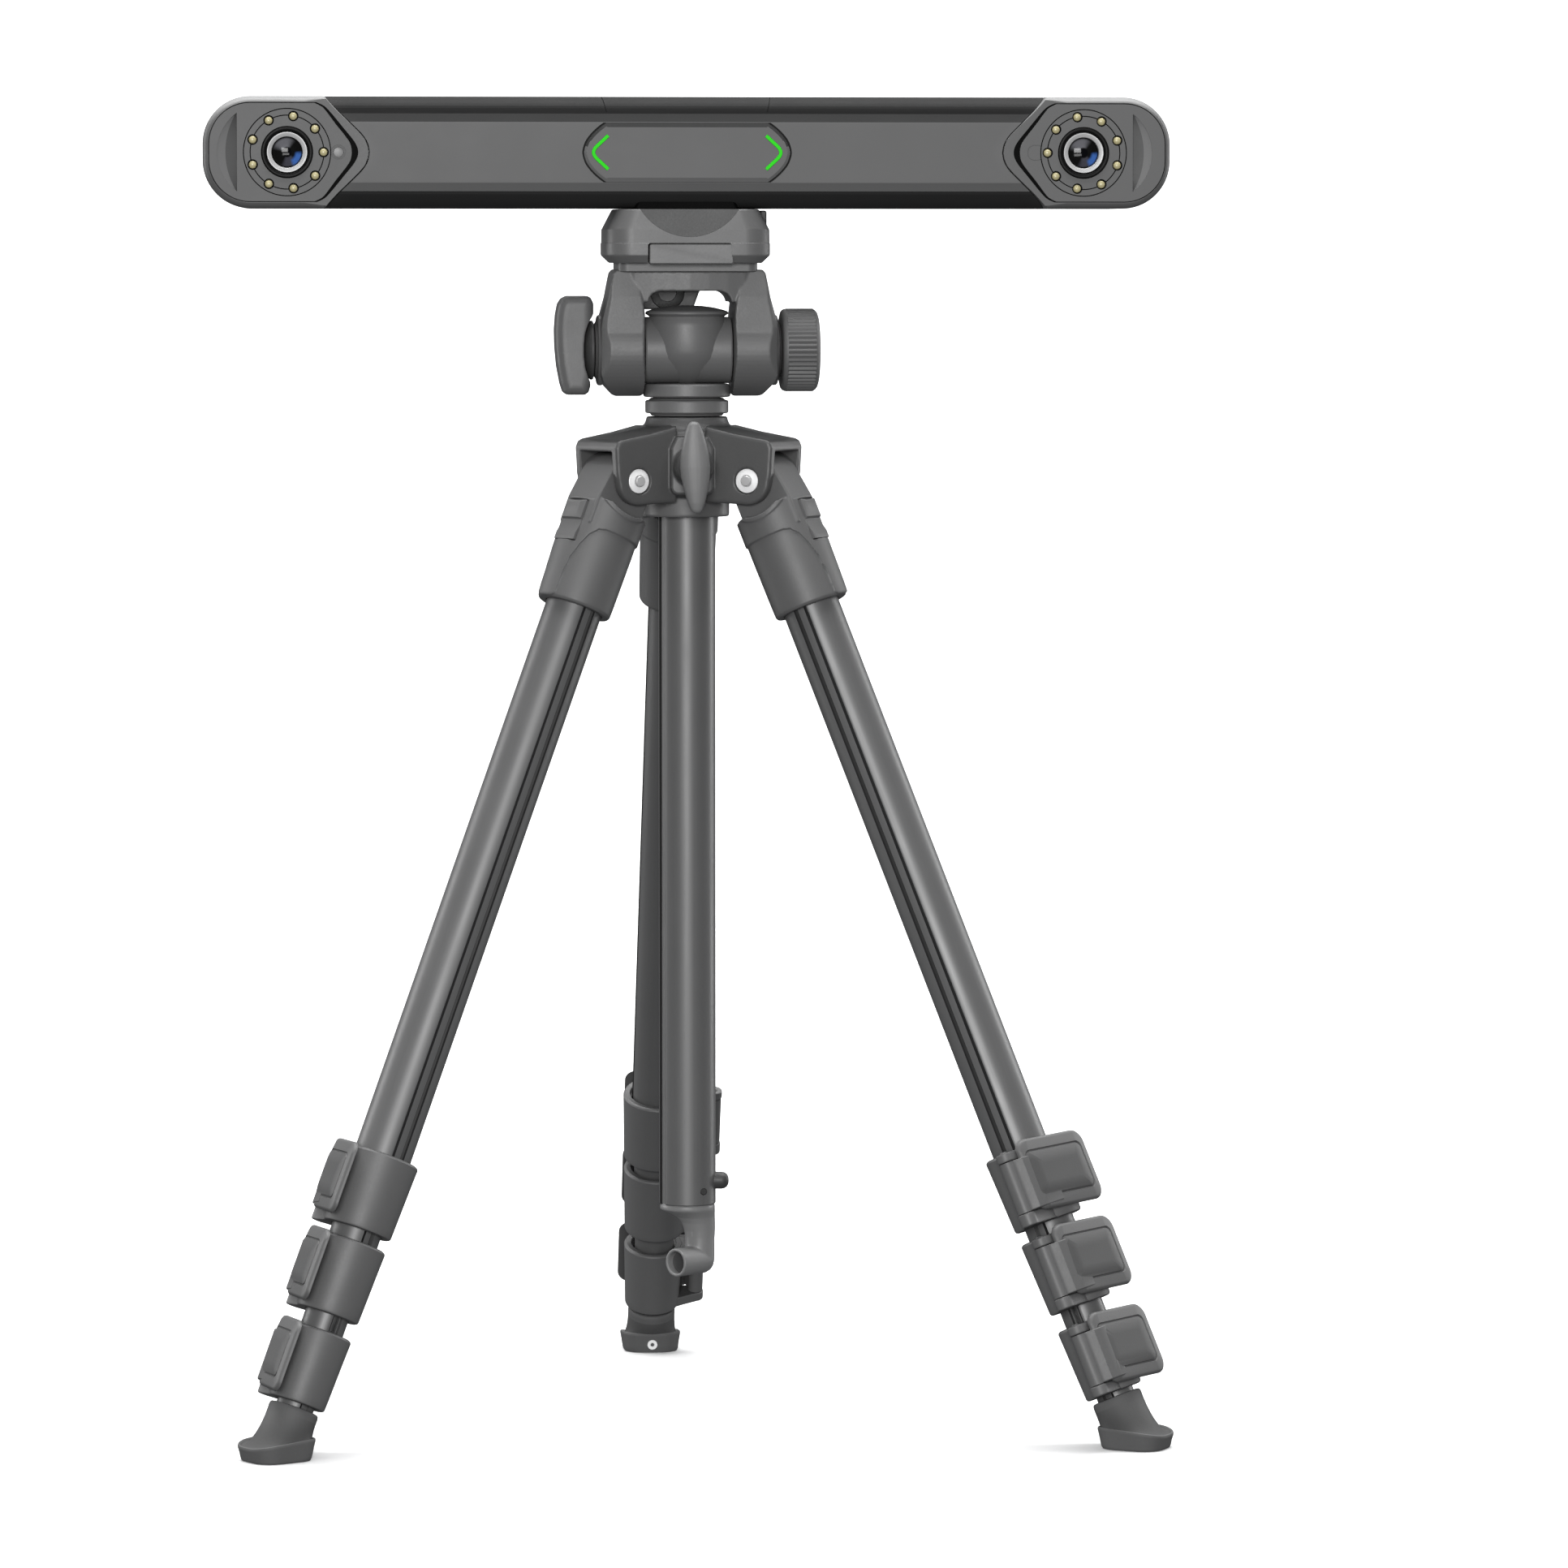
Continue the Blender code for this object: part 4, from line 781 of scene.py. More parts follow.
# ---------------------------------------------------------------- tilt head
def stack(levels, cy=0.0, n=7):
    """Rounded rectangles (z, half width, half depth, corner radius) stacked up."""
    return loft([[(x, y, z) for x, y in rrect(0, cy, hw, hd, r, n)] for z, hw, hd, r in levels])


platform = stack([(609.8, 39.6, 27.6, 10), (610.1, 40.2, 28.4, 11), (613.3, 43.6, 31.6, 14), (613.9, 44.1, 32.0, 14.5), (614.6, 44.25, 32.1, 14.5),
                  (620.1, 44.25, 32.1, 14.5), (620.35, 44.0, 31.8, 14.3), (627.2, 43.9, 31.8, 14.3), (628.0, 43.5, 31.6, 14), (637.4, 38.4, 30.6, 12),
                  (637.9, 37.9, 30.2, 11.6), (638.05, 37.2, 29.6, 11)])
cut(platform, lathe([(31.4, 60), (31.4, 28.3)], 96, "-y", (0, 0, 654.8)))
cut(platform, prism(rrect(0, 612.2, 22.45, 8.15, 1.4), -60, -19, "XZ"))
fuse(platform, stack([(605.3, 36.8, 21.2, 5), (605.7, 37.5, 21.8, 5.5), (611.5, 37.5, 21.8, 5.5)]))
platform.data.transform(Matrix.Translation((-0.9 * MM, 0, 0)) @ Matrix.Diagonal((0.98, 1, 1, 1)))
# the scallop's floor takes the darker cast grey, painted shade in the recess
for p in platform.data.polygons:
    c = p.center / MM
    p.material_index = 1 if abs(c.y + 28.3) < 0.1 and p.normal.y < -0.99 else 0
shade(platform, 22)
dress(platform, "head_platform_skin", "tilt", [M["cast"], M["cast_recess_shade"]], "head_platform")
latch = plate(rrect(39.6, 628.7, 1.7, 8.7, 1.2, 4), -12, 12, "XZ", 1.0, 1.0)
dress(shade(latch, 30), "head_platform_latch", "tilt", M["moulddark"])
button = plate(rrect(0, 614.65, 22.1, 5.3, 1.2, 5), -23.2, -31.55, "XZ", 0.2, 0.7, 3)
dress(shade(button, 30), "plate_release_button_skin", "plate_release", M["cast"], "plate_release_button")


def arm(s):
    pts = [(-38.6, 606.4), (-40.2, 604.5), (-42.6, 592), (-45.9, 580), (-46.5, 576), (-46.5, 551), (-45.2, 547.4), (-39.6, 540.6), (-37.5, 539.7), (-24.8, 539.7),
           (-23.5, 541), (-23.5, 583), (-24.2, 589), (-27.5, 600), (-29.5, 606.4)]
    w = [0.3, 1, 1, 1, 1, 1, 1, 1, 0.6, 0.2, 0.2, 0.2, 0.3, 0.3, 0.3]
    pts = [(-s * x, z) for x, z in pts]
    a = loft([[(x, y, z) for x, z in inset(pts, [d * k for k in w])] for d, y in
              ((5.4, -25.0), (4.6, -24.2), (0, -19.4), (0, 19.4), (4.6, 24.2), (5.4, 25.0))])
    side = [(-18.2, 607), (-20.6, 592)] + arc(0, TZ, 24.2, 158, 382, 40) + [(20.6, 592), (18.2, 607)]
    common(a, prism(side, -60, 60, "YZ"))
    boss = [(18.6, 45.0), (18.6, 46.9), (17.9, 47.7), (15.6, 48.0), (14.6, 48.6), (13.9, 49.1)]
    fuse(a, lathe([(r, s * h) for r, h in boss], 72, "x", (0, 0, TZ)))
    return cut(a, lathe([(6.3, -80), (6.3, 80)], 40, "x", (0, 0, TZ)))


front = [(-35, -17.2), (-29, -19.4), (-20, -20.9), (-10, -21.9), (0, -22.3), (10, -21.9), (20, -20.9), (29, -19.4), (35, -17.2)]
win = [(-31, 604.2), (-30, 605.2), (30, 605.2), (31, 604.2), (27.5, 596.5)] + [(27, 590.5)] + arc(15.5, 588.6, 6.6, 5, 90, 8) + arc(-15.5, 588.6, 6.6, 90, 175, 8) + [(-27, 590.5), (-27.5, 596.5)]
beam = common(prism(win, -26, 26, "XZ"), prism(front + [(-x, -y) for x, y in front], 560, 640, "XY"))
fork = fuse(arm(-1), arm(1), beam)
web = plate([(-26, 585.2), (5.0, 585.2), (9.6, 597.5), (-26, 597.5)], 20.5, 22.4, "XZ", 0.5, 0.5, 2)
fuse(fork, web)
cast(fork, 0.5, 4, 42000)
dress(fork, "tilt_fork_skin", "tilt", M["fork"], "tilt_fork")
eye = lathe([(4.7, 12.9), (4.9, 13.5), (8.6, 13.5), (9.1, 13.2), (9.1, 12.9)], 48, "-y", (-8.6, 33.3, 594.2), loop=True)
dress(shade(eye, 35), "tilt_stop_ring", "tilt", M["eye"])

pan = lathe([(0, 587.6), (8, 587.3), (14, 586.5), (19, 585.3), (21.3, 584.5), (21.9, 583.8), (21.8, 583.0), (20.6, 582.3), (19.8, 581.6), (20.2, 580.6), (21.0, 579.0), (21.5, 577),
             (21.7, 570), (21.5, 564), (20.4, 560), (18.4, 557), (16.0, 554), (13.1, 551), (9.5, 548.4), (6.5, 547.1), (5.5, 546.6), (21.0, 546.4), (22.4, 546.1), (22.9, 545.5),
             (23.0, 544.9), (23.0, 540.2), (22.5, 539.5), (21.6, 539.3), (0, 539.3)], 96)
drum = lathe([(6.2, -23.1), (16.4, -23.1), (17.1, -22.8), (17.5, -22.1), (17.5, 22.1), (17.1, 22.8), (16.4, 23.1), (6.2, 23.1)], 80, "x", (0, 0, TZ))
lock_dir = Vector((-0.5, 0.866, 0.0))
turn = Vector((0, 0, 1)).rotation_difference(lock_dir).to_matrix().to_4x4()
lug = spun(lathe([(5.2, 8), (5.2, 27.2), (4.8, 27.5)], 32), Matrix.Translation((0, 0, 547.5 * MM)) @ turn)
fuse(pan, drum, lug)
pan.data.shade_smooth()
shade(pan, 26)
dress(pan, "pan_body_skin", "pan", M["castmid"], "pan_body")


def ribbed(profile, ribs, depth, span, per=4, axis="z"):
    """Turned body whose radius is ribbed between two heights."""
    segs = ribs * per
    rings = []
    for r, h in profile:
        ring = []
        for k in range(segs):
            rr = r
            if span[0] <= h <= span[1]:
                rr = r - depth * (0.5 - 0.5 * math.cos(math.tau * k / per)) ** 1.5
            a = math.tau * k / segs
            c, q = rr * math.cos(a), rr * math.sin(a)
            ring.append((c, q, h) if axis == "z" else (h, c, q))
        rings.append(ring)
    return loft(rings, caps=(profile[0][0] > 1e-6, profile[-1][0] > 1e-6))


lk = ribbed([(0, 27.9), (5.6, 27.9), (6.5, 28.3), (6.8, 29.0), (6.9, 29.4), (6.9, 37.6), (6.8, 38.0), (6.3, 39.2), (5.2, 39.8), (0, 40.0)], 18, 0.7, (29.2, 37.8), 4)
spun(lk, Matrix.Translation((0, 0, 547.5 * MM)) @ turn)
dress(shade(lk, 35), "pan_lock_knob_skin", "pan_lock", M["knob"], "pan_lock_knob")
base = lathe([(0, 529.5), (18.6, 529.5), (19.0, 529.9), (19.4, 530.6), (21.4, 530.9), (22.0, 531.5), (22.0, 537.0), (21.5, 537.6), (20.2, 537.9), (19.4, 538.6), (19.0, 538.9), (0, 538.9)], 96)
dress(shade(base, 32), "pan_base_skin", "column", M["castmid"], "pan_base")

paddle = [(-49.8, 588.6), (-51.2, 591.6), (-53.0, 592.6), (-63.6, 592.6), (-66.4, 591.2), (-68.2, 588.4), (-69.3, 583), (-69.9, 575), (-69.7, 566), (-68.8, 556), (-67.0, 546.5),
          (-65.6, 542.2), (-63.6, 540.6), (-54.4, 540.6), (-52.4, 542), (-51.2, 546), (-49.8, 551)]
kn = plate(paddle, -12.5, 12.5, "XZ", 5.0, 5.0, 5)
cut(kn, lathe([(0, -40), (20.6, -40), (20.6, -49.8), (19.7, -51.4), (18, -53.0), (15.5, -54.3), (12, -55.1), (0, -55.3)], 64, "x", (0, 0, TZ)))
cast(kn, 0.45, 4, 22000)
disc = lathe([(0, -49.5), (14.6, -49.5), (15.4, -49.8), (15.6, -50.4), (15.55, -51.0), (14.5, -52.4), (12, -53.8), (9, -54.7), (0, -55.0)], 72, "x", (0, 0, TZ))
dress(shade(disc, 35), "tilt_lock_disc", "tilt_lock", M["moulddark"])
dress(kn, "tilt_lock_knob_skin", "tilt_lock", M["knob"], "tilt_lock_knob")
dk = ribbed([(0, 49.5), (19.2, 49.5), (20.4, 49.8), (21.2, 50.5), (21.6, 51.4), (21.7, 52.0), (21.85, 52.4), (21.85, 66.6), (21.5, 67.0), (20.9, 67.9), (19.8, 68.7), (18.2, 69.2), (17.2, 69.2), (16.6, 68.8), (16.2, 68.0),
             (6, 67.6), (0, 67.6)], 52, 0.85, (52.2, 66.8), 6, "x")
spun(dk, Matrix.Translation((0, 0, TZ * MM)))
dress(shade(dk, 38), "tilt_drag_knob_skin", "tilt_drag", M["knob"], "tilt_drag_knob")

# ---------------------------------------------------------------- crown and column
pr, pz = PIVOT_R, PIVOT_Z
hub = lathe([(15.3, 529.1), (20.9, 529.1), (21.4, 528.7), (21.6, 527.4), (22.4, 525.4), (24.0, 523.0), (26.2, 521.2), (27, 519.6), (27, 488), (22.4, 487), (22.4, 477.2), (21.7, 476.5), (15.3, 476.5)], 96, loop=True)
sides = [(pr - 24, pz - 11.5), (pr - 8, pz - 12.2)] + arc(pr, pz, 12.8, 262, 352, 16) + [(pr + 13.8, pz + 4), (pr + 14.6, pz + 17.5), (pr + 13.2, pz + 20.6), (pr + 11, pz + 21.8),
                                                                                       (pr - 8, pz + 25), (pr - 24, pz + 28.5)]
slot_ = [(pr - 16, pz - 30), (pr + 40, pz - 30), (pr + 40, pz + 15.5), (pr - 12, pz + 15.5), (pr - 16, pz + 12)]
crown = hub
for side, az in LEG_AZ.items():
    m = Matrix.Rotation(math.radians(az), 4, "Z")
    block = plate(sides, -20, 20, "YZ", 1.6, 1.6, 2)
    cut(block, prism(slot_, -14.7, 14.7, "YZ"))
    fuse(crown, spun(block, m))
for side, az in LEG_AZ.items():
    m = Matrix.Rotation(math.radians(az), 4, "Z")
    cut(crown, spun(prism(slot_, -14.7, 14.7, "YZ"), m))
    for s in (-1, 1):
        cut(crown, spun(lathe([(6.9, s * 18.2), (6.9, s * 40)], 40, "x", (0, pr, pz)), m))
    cut(crown, spun(lathe([(4.4, -40), (4.4, 40)], 32, "x", (0, pr, pz)), m))
fuse(crown, plate([(-11.2, 492), (-10.2, 489.8), (-8, 488.8), (8, 488.8), (10.2, 489.8), (11.2, 492), (11.2, 513), (8.2, 519), (-8.2, 519), (-11.2, 513)], -20, -36, "XZ", 0, 1.0, 2))
fuse(crown, lathe([(10.4, 20), (10.4, 39.2), (9.9, 39.8), (0, 39.8)], 64, "-y", (0, 0, 503.7)))
cut(crown, lathe([(15.3, 440), (15.3, 560)], 96))
cut(crown, lathe([(4.2, 10), (4.2, 60)], 32, "-y", (0, 0, 503.7)))
cast(crown, 0.5, 4, 70000)
for p in crown.data.polygons:
    c = p.center / MM
    p.material_index = 1 if c.z < 486.6 and math.hypot(c.x, c.y) < 22.9 else 0
dress(crown, "leg_crown_skin", "crown", [M["crown"], M["castmid"]], "leg_crown")

pin = []
for s in (-1, 1):
    pin.append(lathe([(4.2, s * 14.0), (4.2, s * 18.4), (6.3, s * 18.4), (6.3, s * 19.0), (6.0, s * 19.2), (3.3, s * 19.7), (3.1, s * 19.2), (2.75, s * 19.2), (2.75, s * 20.6), (2.4, s * 20.95), (0, s * 21.1)], 56, "x"))
pin.append(lathe([(4.2, -14.2), (4.2, 14.2)], 32, "x"))
bolt = group(*pin)
for p in bolt.data.polygons:
    c = p.center / MM
    p.material_index = 1 if math.hypot(c.y, c.z) < 3.05 and abs(c.x) > 18.5 else 0
shade(bolt, 9)
for side in LEG_AZ:
    az = math.radians(LEG_AZ[side])
    place = HEAD @ Matrix.Rotation(az, 4, "Z") @ Matrix.Translation((0, pr * MM, pz * MM))
    dress(copy_of(bolt), side + "_leg_pivot_bolt_skin", "crown", [M["steel"], M["pinhead"]], side + "_leg_pivot_bolt", place)
bpy.data.objects.remove(bolt, do_unlink=True)

# wing: two blades on a hub
levels = [(-23.9, 0.7, 0.7, -53.4), (-23.5, 2.0, 1.7, -53.4), (-22.3, 3.1, 2.6, -53.4), (-18.5, 4.6, 3.6, -53.2), (-12.5, 6.1, 4.6, -52.8), (-6, 7.4, 5.6, -52.2), (0, 8.0, 6.2, -51.8),
          (6, 7.5, 5.6, -52.2), (12.5, 6.2, 4.6, -52.8), (18.5, 4.6, 3.6, -53.2), (22.3, 3.1, 2.6, -53.4), (23.5, 2.0, 1.7, -53.4), (23.9, 0.7, 0.7, -53.4)]
rings = []
for z, hx, hy, cy in levels:
    ring = []
    for k in range(28):
        a = math.tau * k / 28
        c, q = math.cos(a), math.sin(a)
        ring.append((math.copysign(abs(c) ** 0.8, c) * hx - z * 0.03, cy + math.copysign(abs(q) ** 0.9, q) * hy, 503.7 + z))
    rings.append(ring)
wing = loft(rings)
wing_hub = shade(lathe([(0, 52), (7.2, 51.4), (9.2, 50.0), (10.3, 47.6), (10.4, 46), (10.4, 41.0), (10.0, 40.3), (0, 40.2)], 56, "-y", (0, 0, 503.7)), 30)
dress(wing_hub, "column_lock_hub", "column_lock", M["moulddark"])
cast(wing, 0.35, 3, 12000)
dress(wing, "column_lock_knob_skin", "column_lock", M["wing"], "column_lock_knob")


def tube_ring(r, grooves, width=6.2, depth=1.3, segs=96):
    """Round section with U grooves at the given angles."""
    pts = []
    for k in range(segs):
        a = math.tau * k / segs
        d = 0.0
        for g in grooves:
            off = abs((a - g + math.pi) % math.tau - math.pi) * r
            if off < width / 2:
                t = off / (width / 2)
                d = max(d, depth * (1 - max(0.0, (t - 0.55) / 0.45) ** 2) if t > 0.55 else depth)
        pts.append(((r - d) * math.cos(a), (r - d) * math.sin(a)))
    return pts


def tube(r, r_in, z0, z1, grooves, start=None, stop=None):
    """Hollow tube; the grooves run between start and stop."""
    plain, cutr = tube_ring(r, ()), tube_ring(r, grooves)
    inn = [(r_in * math.cos(math.tau * k / 96), r_in * math.sin(math.tau * k / 96)) for k in range(96)]
    q = lambda pts, z, d=0.0: [(x * (1 - d / r), y * (1 - d / r), z) for x, y in pts]
    rings = [q(plain, z0, 0.4), q(plain, z0 + 0.4)]
    a = z0 + 1 if start is None else start
    b = z1 - 1 if stop is None else stop
    if start is not None:
        rings += [q(plain, a), q(cutr, a + 1.0)]
    else:
        rings = [q(cutr, z0, 0.3), q(cutr, z0 + 0.4)]
    rings += [q(cutr, a + (b - a) * i / 6) for i in range(1, 6)]
    if stop is not None:
        rings += [q(cutr, b - 1.0), q(plain, b), q(plain, z1 - 0.4), q(plain, z1, 0.4)]
    else:
        rings += [q(cutr, z1 - 0.4), q(cutr, z1, 0.3)]
    rings += [q(inn, z1), q(inn, z0)]
    ob = loft(rings, loop=True)
    # groove walls take the second finish, painted dark as shade in the grooves
    for p in ob.data.polygons:
        c = math.hypot(p.center.x, p.center.y) / MM
        p.material_index = 1 if r - 1.22 < c < r - 0.14 and c > r_in + 0.1 and abs(p.normal.z) < 0.5 else 0
    return ob


col = tube(15.0, 13.0, 111.6, 529.1, (math.radians(199.5),), stop=524.0)
cut(col, lathe([(1.9, 8), (1.9, 20)], 20, "-y", (7.6, 0, 119.0)))
dress(shade(col, 24), "center_column_skin", "column", [M["tube"], M["groove_shade"]], "center_column")
plug = lathe([(0, 12.3), (1.6, 12.3), (1.85, 12.1), (1.85, 8.5), (0, 8.5)], 20, "-y", (7.6, 0, 119.0))
dress(shade(plug, 35), "column_pin", "column", M["eye"])
nub = spun(lathe([(0, 22.0), (1.8, 21.8), (3.4, 21.0), (4.3, 19.6), (4.6, 18.0), (4.6, 14.2), (0, 13.6)], 32, "x", (0, 0, 123.8)), Matrix.Rotation(math.radians(-8), 4, "Z"))
dress(shade(nub, 40), "column_stop_screw", "column", M["moulddark"])

path = curve([(6.6, -0.6, 81.8), (3.4, -3.6, 81.6), (-0.2, -6.9, 81.5), (-3.8, -10.1, 81.4), (-7.6, -13.4, 81.4)], 5)
rings = []
for i, p in enumerate(path):
    t = (Vector(path[min(i + 1, len(path) - 1)]) - Vector(path[max(i - 1, 0)])).normalized()
    u = t.cross(Vector((0.62, -0.78, 0.0))).normalized()
    v = t.cross(u)
    r = 7.5
    rings.append([tuple(Vector(p) + (u * math.cos(math.tau * k / 36) + v * math.sin(math.tau * k / 36)) * r) for k in range(36)])
hook = loft(rings)
fuse(hook, lathe([(0, 73.8), (3.2, 74.3), (5.6, 75.8), (7.2, 78.2), (7.8, 81.0), (7.9, 84), (7.9, 104), (0, 104)], 48, at=(6.5, 0, 0)))
neck = []
for z, cx, r in ((113, 0, 12.5), (111.2, 0, 14.2), (110.6, 0, 14.6), (108.6, 0, 14.6), (107.8, 0.9, 13.7), (106.4, 2.6, 12.0), (104.4, 4.5, 10.1), (101.4, 5.8, 8.9), (97, 6.5, 8.2), (92, 6.6, 7.8)):
    neck.append([(cx + r * math.cos(math.tau * k / 48), r * math.sin(math.tau * k / 48), z) for k in range(48)])
fuse(hook, loft(neck[::-1]))
end = Vector(path[-1])
back_dir = (Vector(path[-1]) - Vector(path[-3])).normalized()
m = Matrix.Translation(end * MM) @ Vector((0, 0, 1)).rotation_difference(back_dir).to_matrix().to_4x4()
cut(hook, spun(lathe([(5.6, -5.0), (6.2, 4)], 36), m))
# a darker disc at the bottom of the hook's bore, painted shade for its depth
bore = spun(lathe([(0, -4.4), (3.6, -4.2), (5.2, -3.4), (5.2, -5.4), (0, -5.4)], 36), m)
dress(shade(bore, 35), "column_hook_bore", "column", M["cast_recess_shade"])
fuse(hook, lathe([(12.6, 109), (12.6, 149.4), (12.0, 150)], 48))
cast(hook, 0.5, 5, 20000)
dress(hook, "column_hook_skin", "column", M["hook"], "column_hook")


# ---------------------------------------------------------------- legs
def build_shoulder():
    def cone(d):
        return lathe([(0, -8), (20.9 + d, -8), (21.2 + d, -9), (21.2 + d, -18), (21.2 + d, -38), (20.8 + d, -66), (20.6 + d, -71.2), (20.0 + d, -72.2), (19.0, -72.5), (0, -72.5)], 96, at=(0, 0.4, 0))

    low = [(-30, -31), (9, -31), (12.5, -32), (15.5, -36), (17.5, -42), (19.0, -50), (19.6, -60), (19.7, -90), (-30, -90)]
    s = cut(cone(0.0), prism(low, -40, 40, "YZ"))
    fuse(s, cone(-0.85))
    lip = common(cone(0.6), lathe([(19.2, -40), (21.6, -40), (21.6, 40), (19.2, 40)], 96, "x", loop=True))
    cut(lip, prism([(-60, -60), (-16.0, -60), (-16.0, 60), (-60, 60)], -60, 60, "YZ"))
    fuse(s, lip)
    for k in (-1, 1):
        cut(s, lathe([(19.2, k * 14.25), (19.2, k * 40)], 96, "x"))
    cut(s, prism([(-40, -17.5), (-40, 20), (40, 20), (40, -17.5)], -14.3, 14.3, "YZ"))
    cut(s, prism([(-60, -17.2), (-60, 30), (-5, 30), (-5, -17.2)], -60, 60, "YZ"))
    for k in (-1, 1):
        cut(s, prism([(9.5, -15.8), (60, -15.8), (60, 30), (9.5, 30)], k * 14.3, k * 60, "YZ"))
    neck = arc(0, 0, 14.8, 12, 128, 18) + [(-12.0, 9.0), (-12.8, 4.0), (-12.8, -30), (17.5, -30), (17.5, -16)]
    fuse(s, plate(neck, -14.2, 14.2, "YZ", 0.6, 0.6, 2))
    cut(s, lathe([(15.3, -29.6), (15.3, -90)], 72))
    cut(s, lathe([(4.35, -30), (4.35, 30)], 32, "x"))
    cut(s, prism([(16.6, -41.4), (40, -41.4), (40, -18.6), (16.6, -18.6)], -9.4, 9.4, "YZ"))
    return cast(s, 0.38, 3, 30000)


def build_tab():
    t = plate([(17.0, -18.9), (20.4, -18.9), (21.6, -20.6), (22.0, -23.6), (21.7, -26.6), (20.8, -28.8), (19.4, -29.6), (19.2, -30.6), (19.7, -33.4), (20.6, -37.0), (21.2, -39.4), (20.9, -41.0), (17.0, -41.0)],
              -9.0, 9.0, "YZ", 0.6, 0.6, 2)
    common(t, lathe([(0, -18), (21.9, -18), (21.9, -50), (0, -50)], 96, at=(0, 0.4, 0)))
    return shade(t, 30)


def build_collar(i):
    z0, z1, r = COLLAR_TOP[i], COLLAR_TOP[i] - COLLAR_H - (2.2, 1.5, 0.9)[i], COLLAR_R[i]
    t0, t1 = TUBE_R[i], TUBE_R[i + 1]
    at = lambda z: r + 0.7 - 1.4 * (z0 - z) / (z0 - z1)
    prof = [(t0 + 1.0, z0 - 3.4), (t0 + 1.0, z0 - 0.2), (t0 + 1.3, z0 + 0.1), (at(z0) - 1.3, z0 + 0.1), (at(z0) - 0.4, z0 - 0.4), (at(z0), z0 - 1.2), (at(z0) - 0.1, z0 - 4.0)]
    prof += [(at(z0 - q), z0 - q) for q in (10, 16, 22, 28)]
    prof += [(at(z1 + 4.0), z1 + 4.0)]
    prof += [(at(z1), z1 + 1.2), (at(z1) - 0.4, z1 + 0.4), (at(z1) - 1.3, z1), (t1 + 0.8, z1), (t1 + 0.45, z1 + 0.3), (t1 + 0.45, z1 + 3.0), (t0 + 0.03, z1 + 3.0), (t0 + 0.03, z0 - 3.4)]
    c = lathe(prof, 96, loop=True)
    k = r - 2.2
    lug_ = [(k * math.cos(math.radians(-30)), k * math.sin(math.radians(-30)))] + arc(*LEVER_H[i], 4.6, -80, 100, 14) + [(k * math.cos(math.radians(45)), k * math.sin(math.radians(45)))]
    w = [0.0] + [1.0] * 15 + [0.0]
    for a, b in ((z0 - 0.3, z0 - 5.0), (COLLAR_TOP[i] - COLLAR_H + 5.0, z1 + 0.4)):
        fuse(c, plate(lug_, b, a, "XY", 0.9, 0.9, 3, w))
    pinhead = lathe([(0, z0 + 0.5), (1.6, z0 + 0.4), (2.0, z0 - 0.1), (2.0, z0 - 3), (0, z0 - 3)], 20, at=(*LEVER_H[i], 0))
    fuse(c, pinhead)
    return shade(c, 24)


def build_lever(i):
    a = LEVER_TURN
    hx, hy = LEVER_H[i]
    r, half = COLLAR_R[i], COLLAR_H / 2
    zc = COLLAR_TOP[i] - half
    hu, hv = hx * math.cos(a) - hy * math.sin(a), hx * math.sin(a) + hy * math.cos(a)
    top = r + 4.5
    drop = (hv + 4.6 - top) / (hu - 8.0)
    table = [(-27, r + 3.2), (-22, r + 4.0), (-16, r + 4.5), (-8, r + 4.75), (0, r + 4.8), (5, r + 4.75), (9, r + 4.6), (13, top + drop * 5 + 1.3),
             (18, top + drop * 10 + 1.9), (22, top + drop * 14 + 2.0), (26, top + drop * 18 + 1.9)]

    def to_leg(u, v, z):
        return (u * math.cos(a) + v * math.sin(a), v * math.cos(a) - u * math.sin(a), zc + z)

    u0, u1 = (-24.5, -24.0, -24.4)[i], hu - 4.0
    rings = []
    # (inset at the free end, at the hinge end, above and below, height over the outer surface)
    for e0, e1, ez, dv in ((0.6, 0.6, 0.6, None), (0.05, 0.05, 0.05, -2.2), (0.0, 0.0, 0.0, -1.8), (0.25, 0.25, 0.25, -1.0), (0.8, 0.8, 0.8, -0.4), (1.7, 1.6, 1.7, -0.05),
                           (4.6, 2.4, 6.3, 0.1), (4.9, 2.5, 6.6, -0.55), (5.6, 2.6, 7.2, -0.55), (5.9, 2.7, 7.5, 0.1), (7.0, 3.6, 8.6, 0.4), (9.0, 6.0, 10.5, 0.6), (12.0, 9.0, 13.5, 0.75)):
        ring = []
        for u, z in rrect((u0 + e0 + u1 - e1) / 2, 1.4, (u1 - e1 - u0 - e0) / 2, 19.2 - ez, max(6.2 - 0.45 * ez, 1.6), 8):
            v = max(r + 1.15 + min(0.0, (hu - 14.0 - u) * 0.16), hv + 5.2) if dv is None else lerp(table, u) + dv - 0.003 * z * z
            ring.append(to_leg(u, v, z + 0.085 * (u + 4.0)))
        rings.append(ring)
    lv = loft(rings)
    for k, p in enumerate(lv.data.polygons):
        p.material_index = 1 if k // len(rings[0]) >= 7 else 0
    web = [(7.0, r + 1.4), (hu - 8.5, r + 0.8), (hu - 3.4, hv - 2.0), (hu + 1.0, hv - 2.0), (hu + 1.0, hv + 3.9), (hu - 1.2, hv + 4.9),
           (hu - 3.5, top + drop * (hu - 11.5) + 2.2), (hu - 7.0, top + drop * (hu - 15.0) + 2.1), (hu - 10.0, top + drop * (hu - 18.0) + 1.6), (7.0, top - 0.8)]
    reach = half - 5.0 - 0.35
    pts = [to_leg(u, v, 0)[:2] for u, v in web]
    w = plate(pts, zc - reach, zc + reach, "XY", 0.8, 0.8, 3)
    fuse(w, lathe([(4.2, zc - reach), (4.2, zc + reach)], 40, at=(hx, hy, 0)))
    fuse(lv, w)
    return shade(lv, 28)


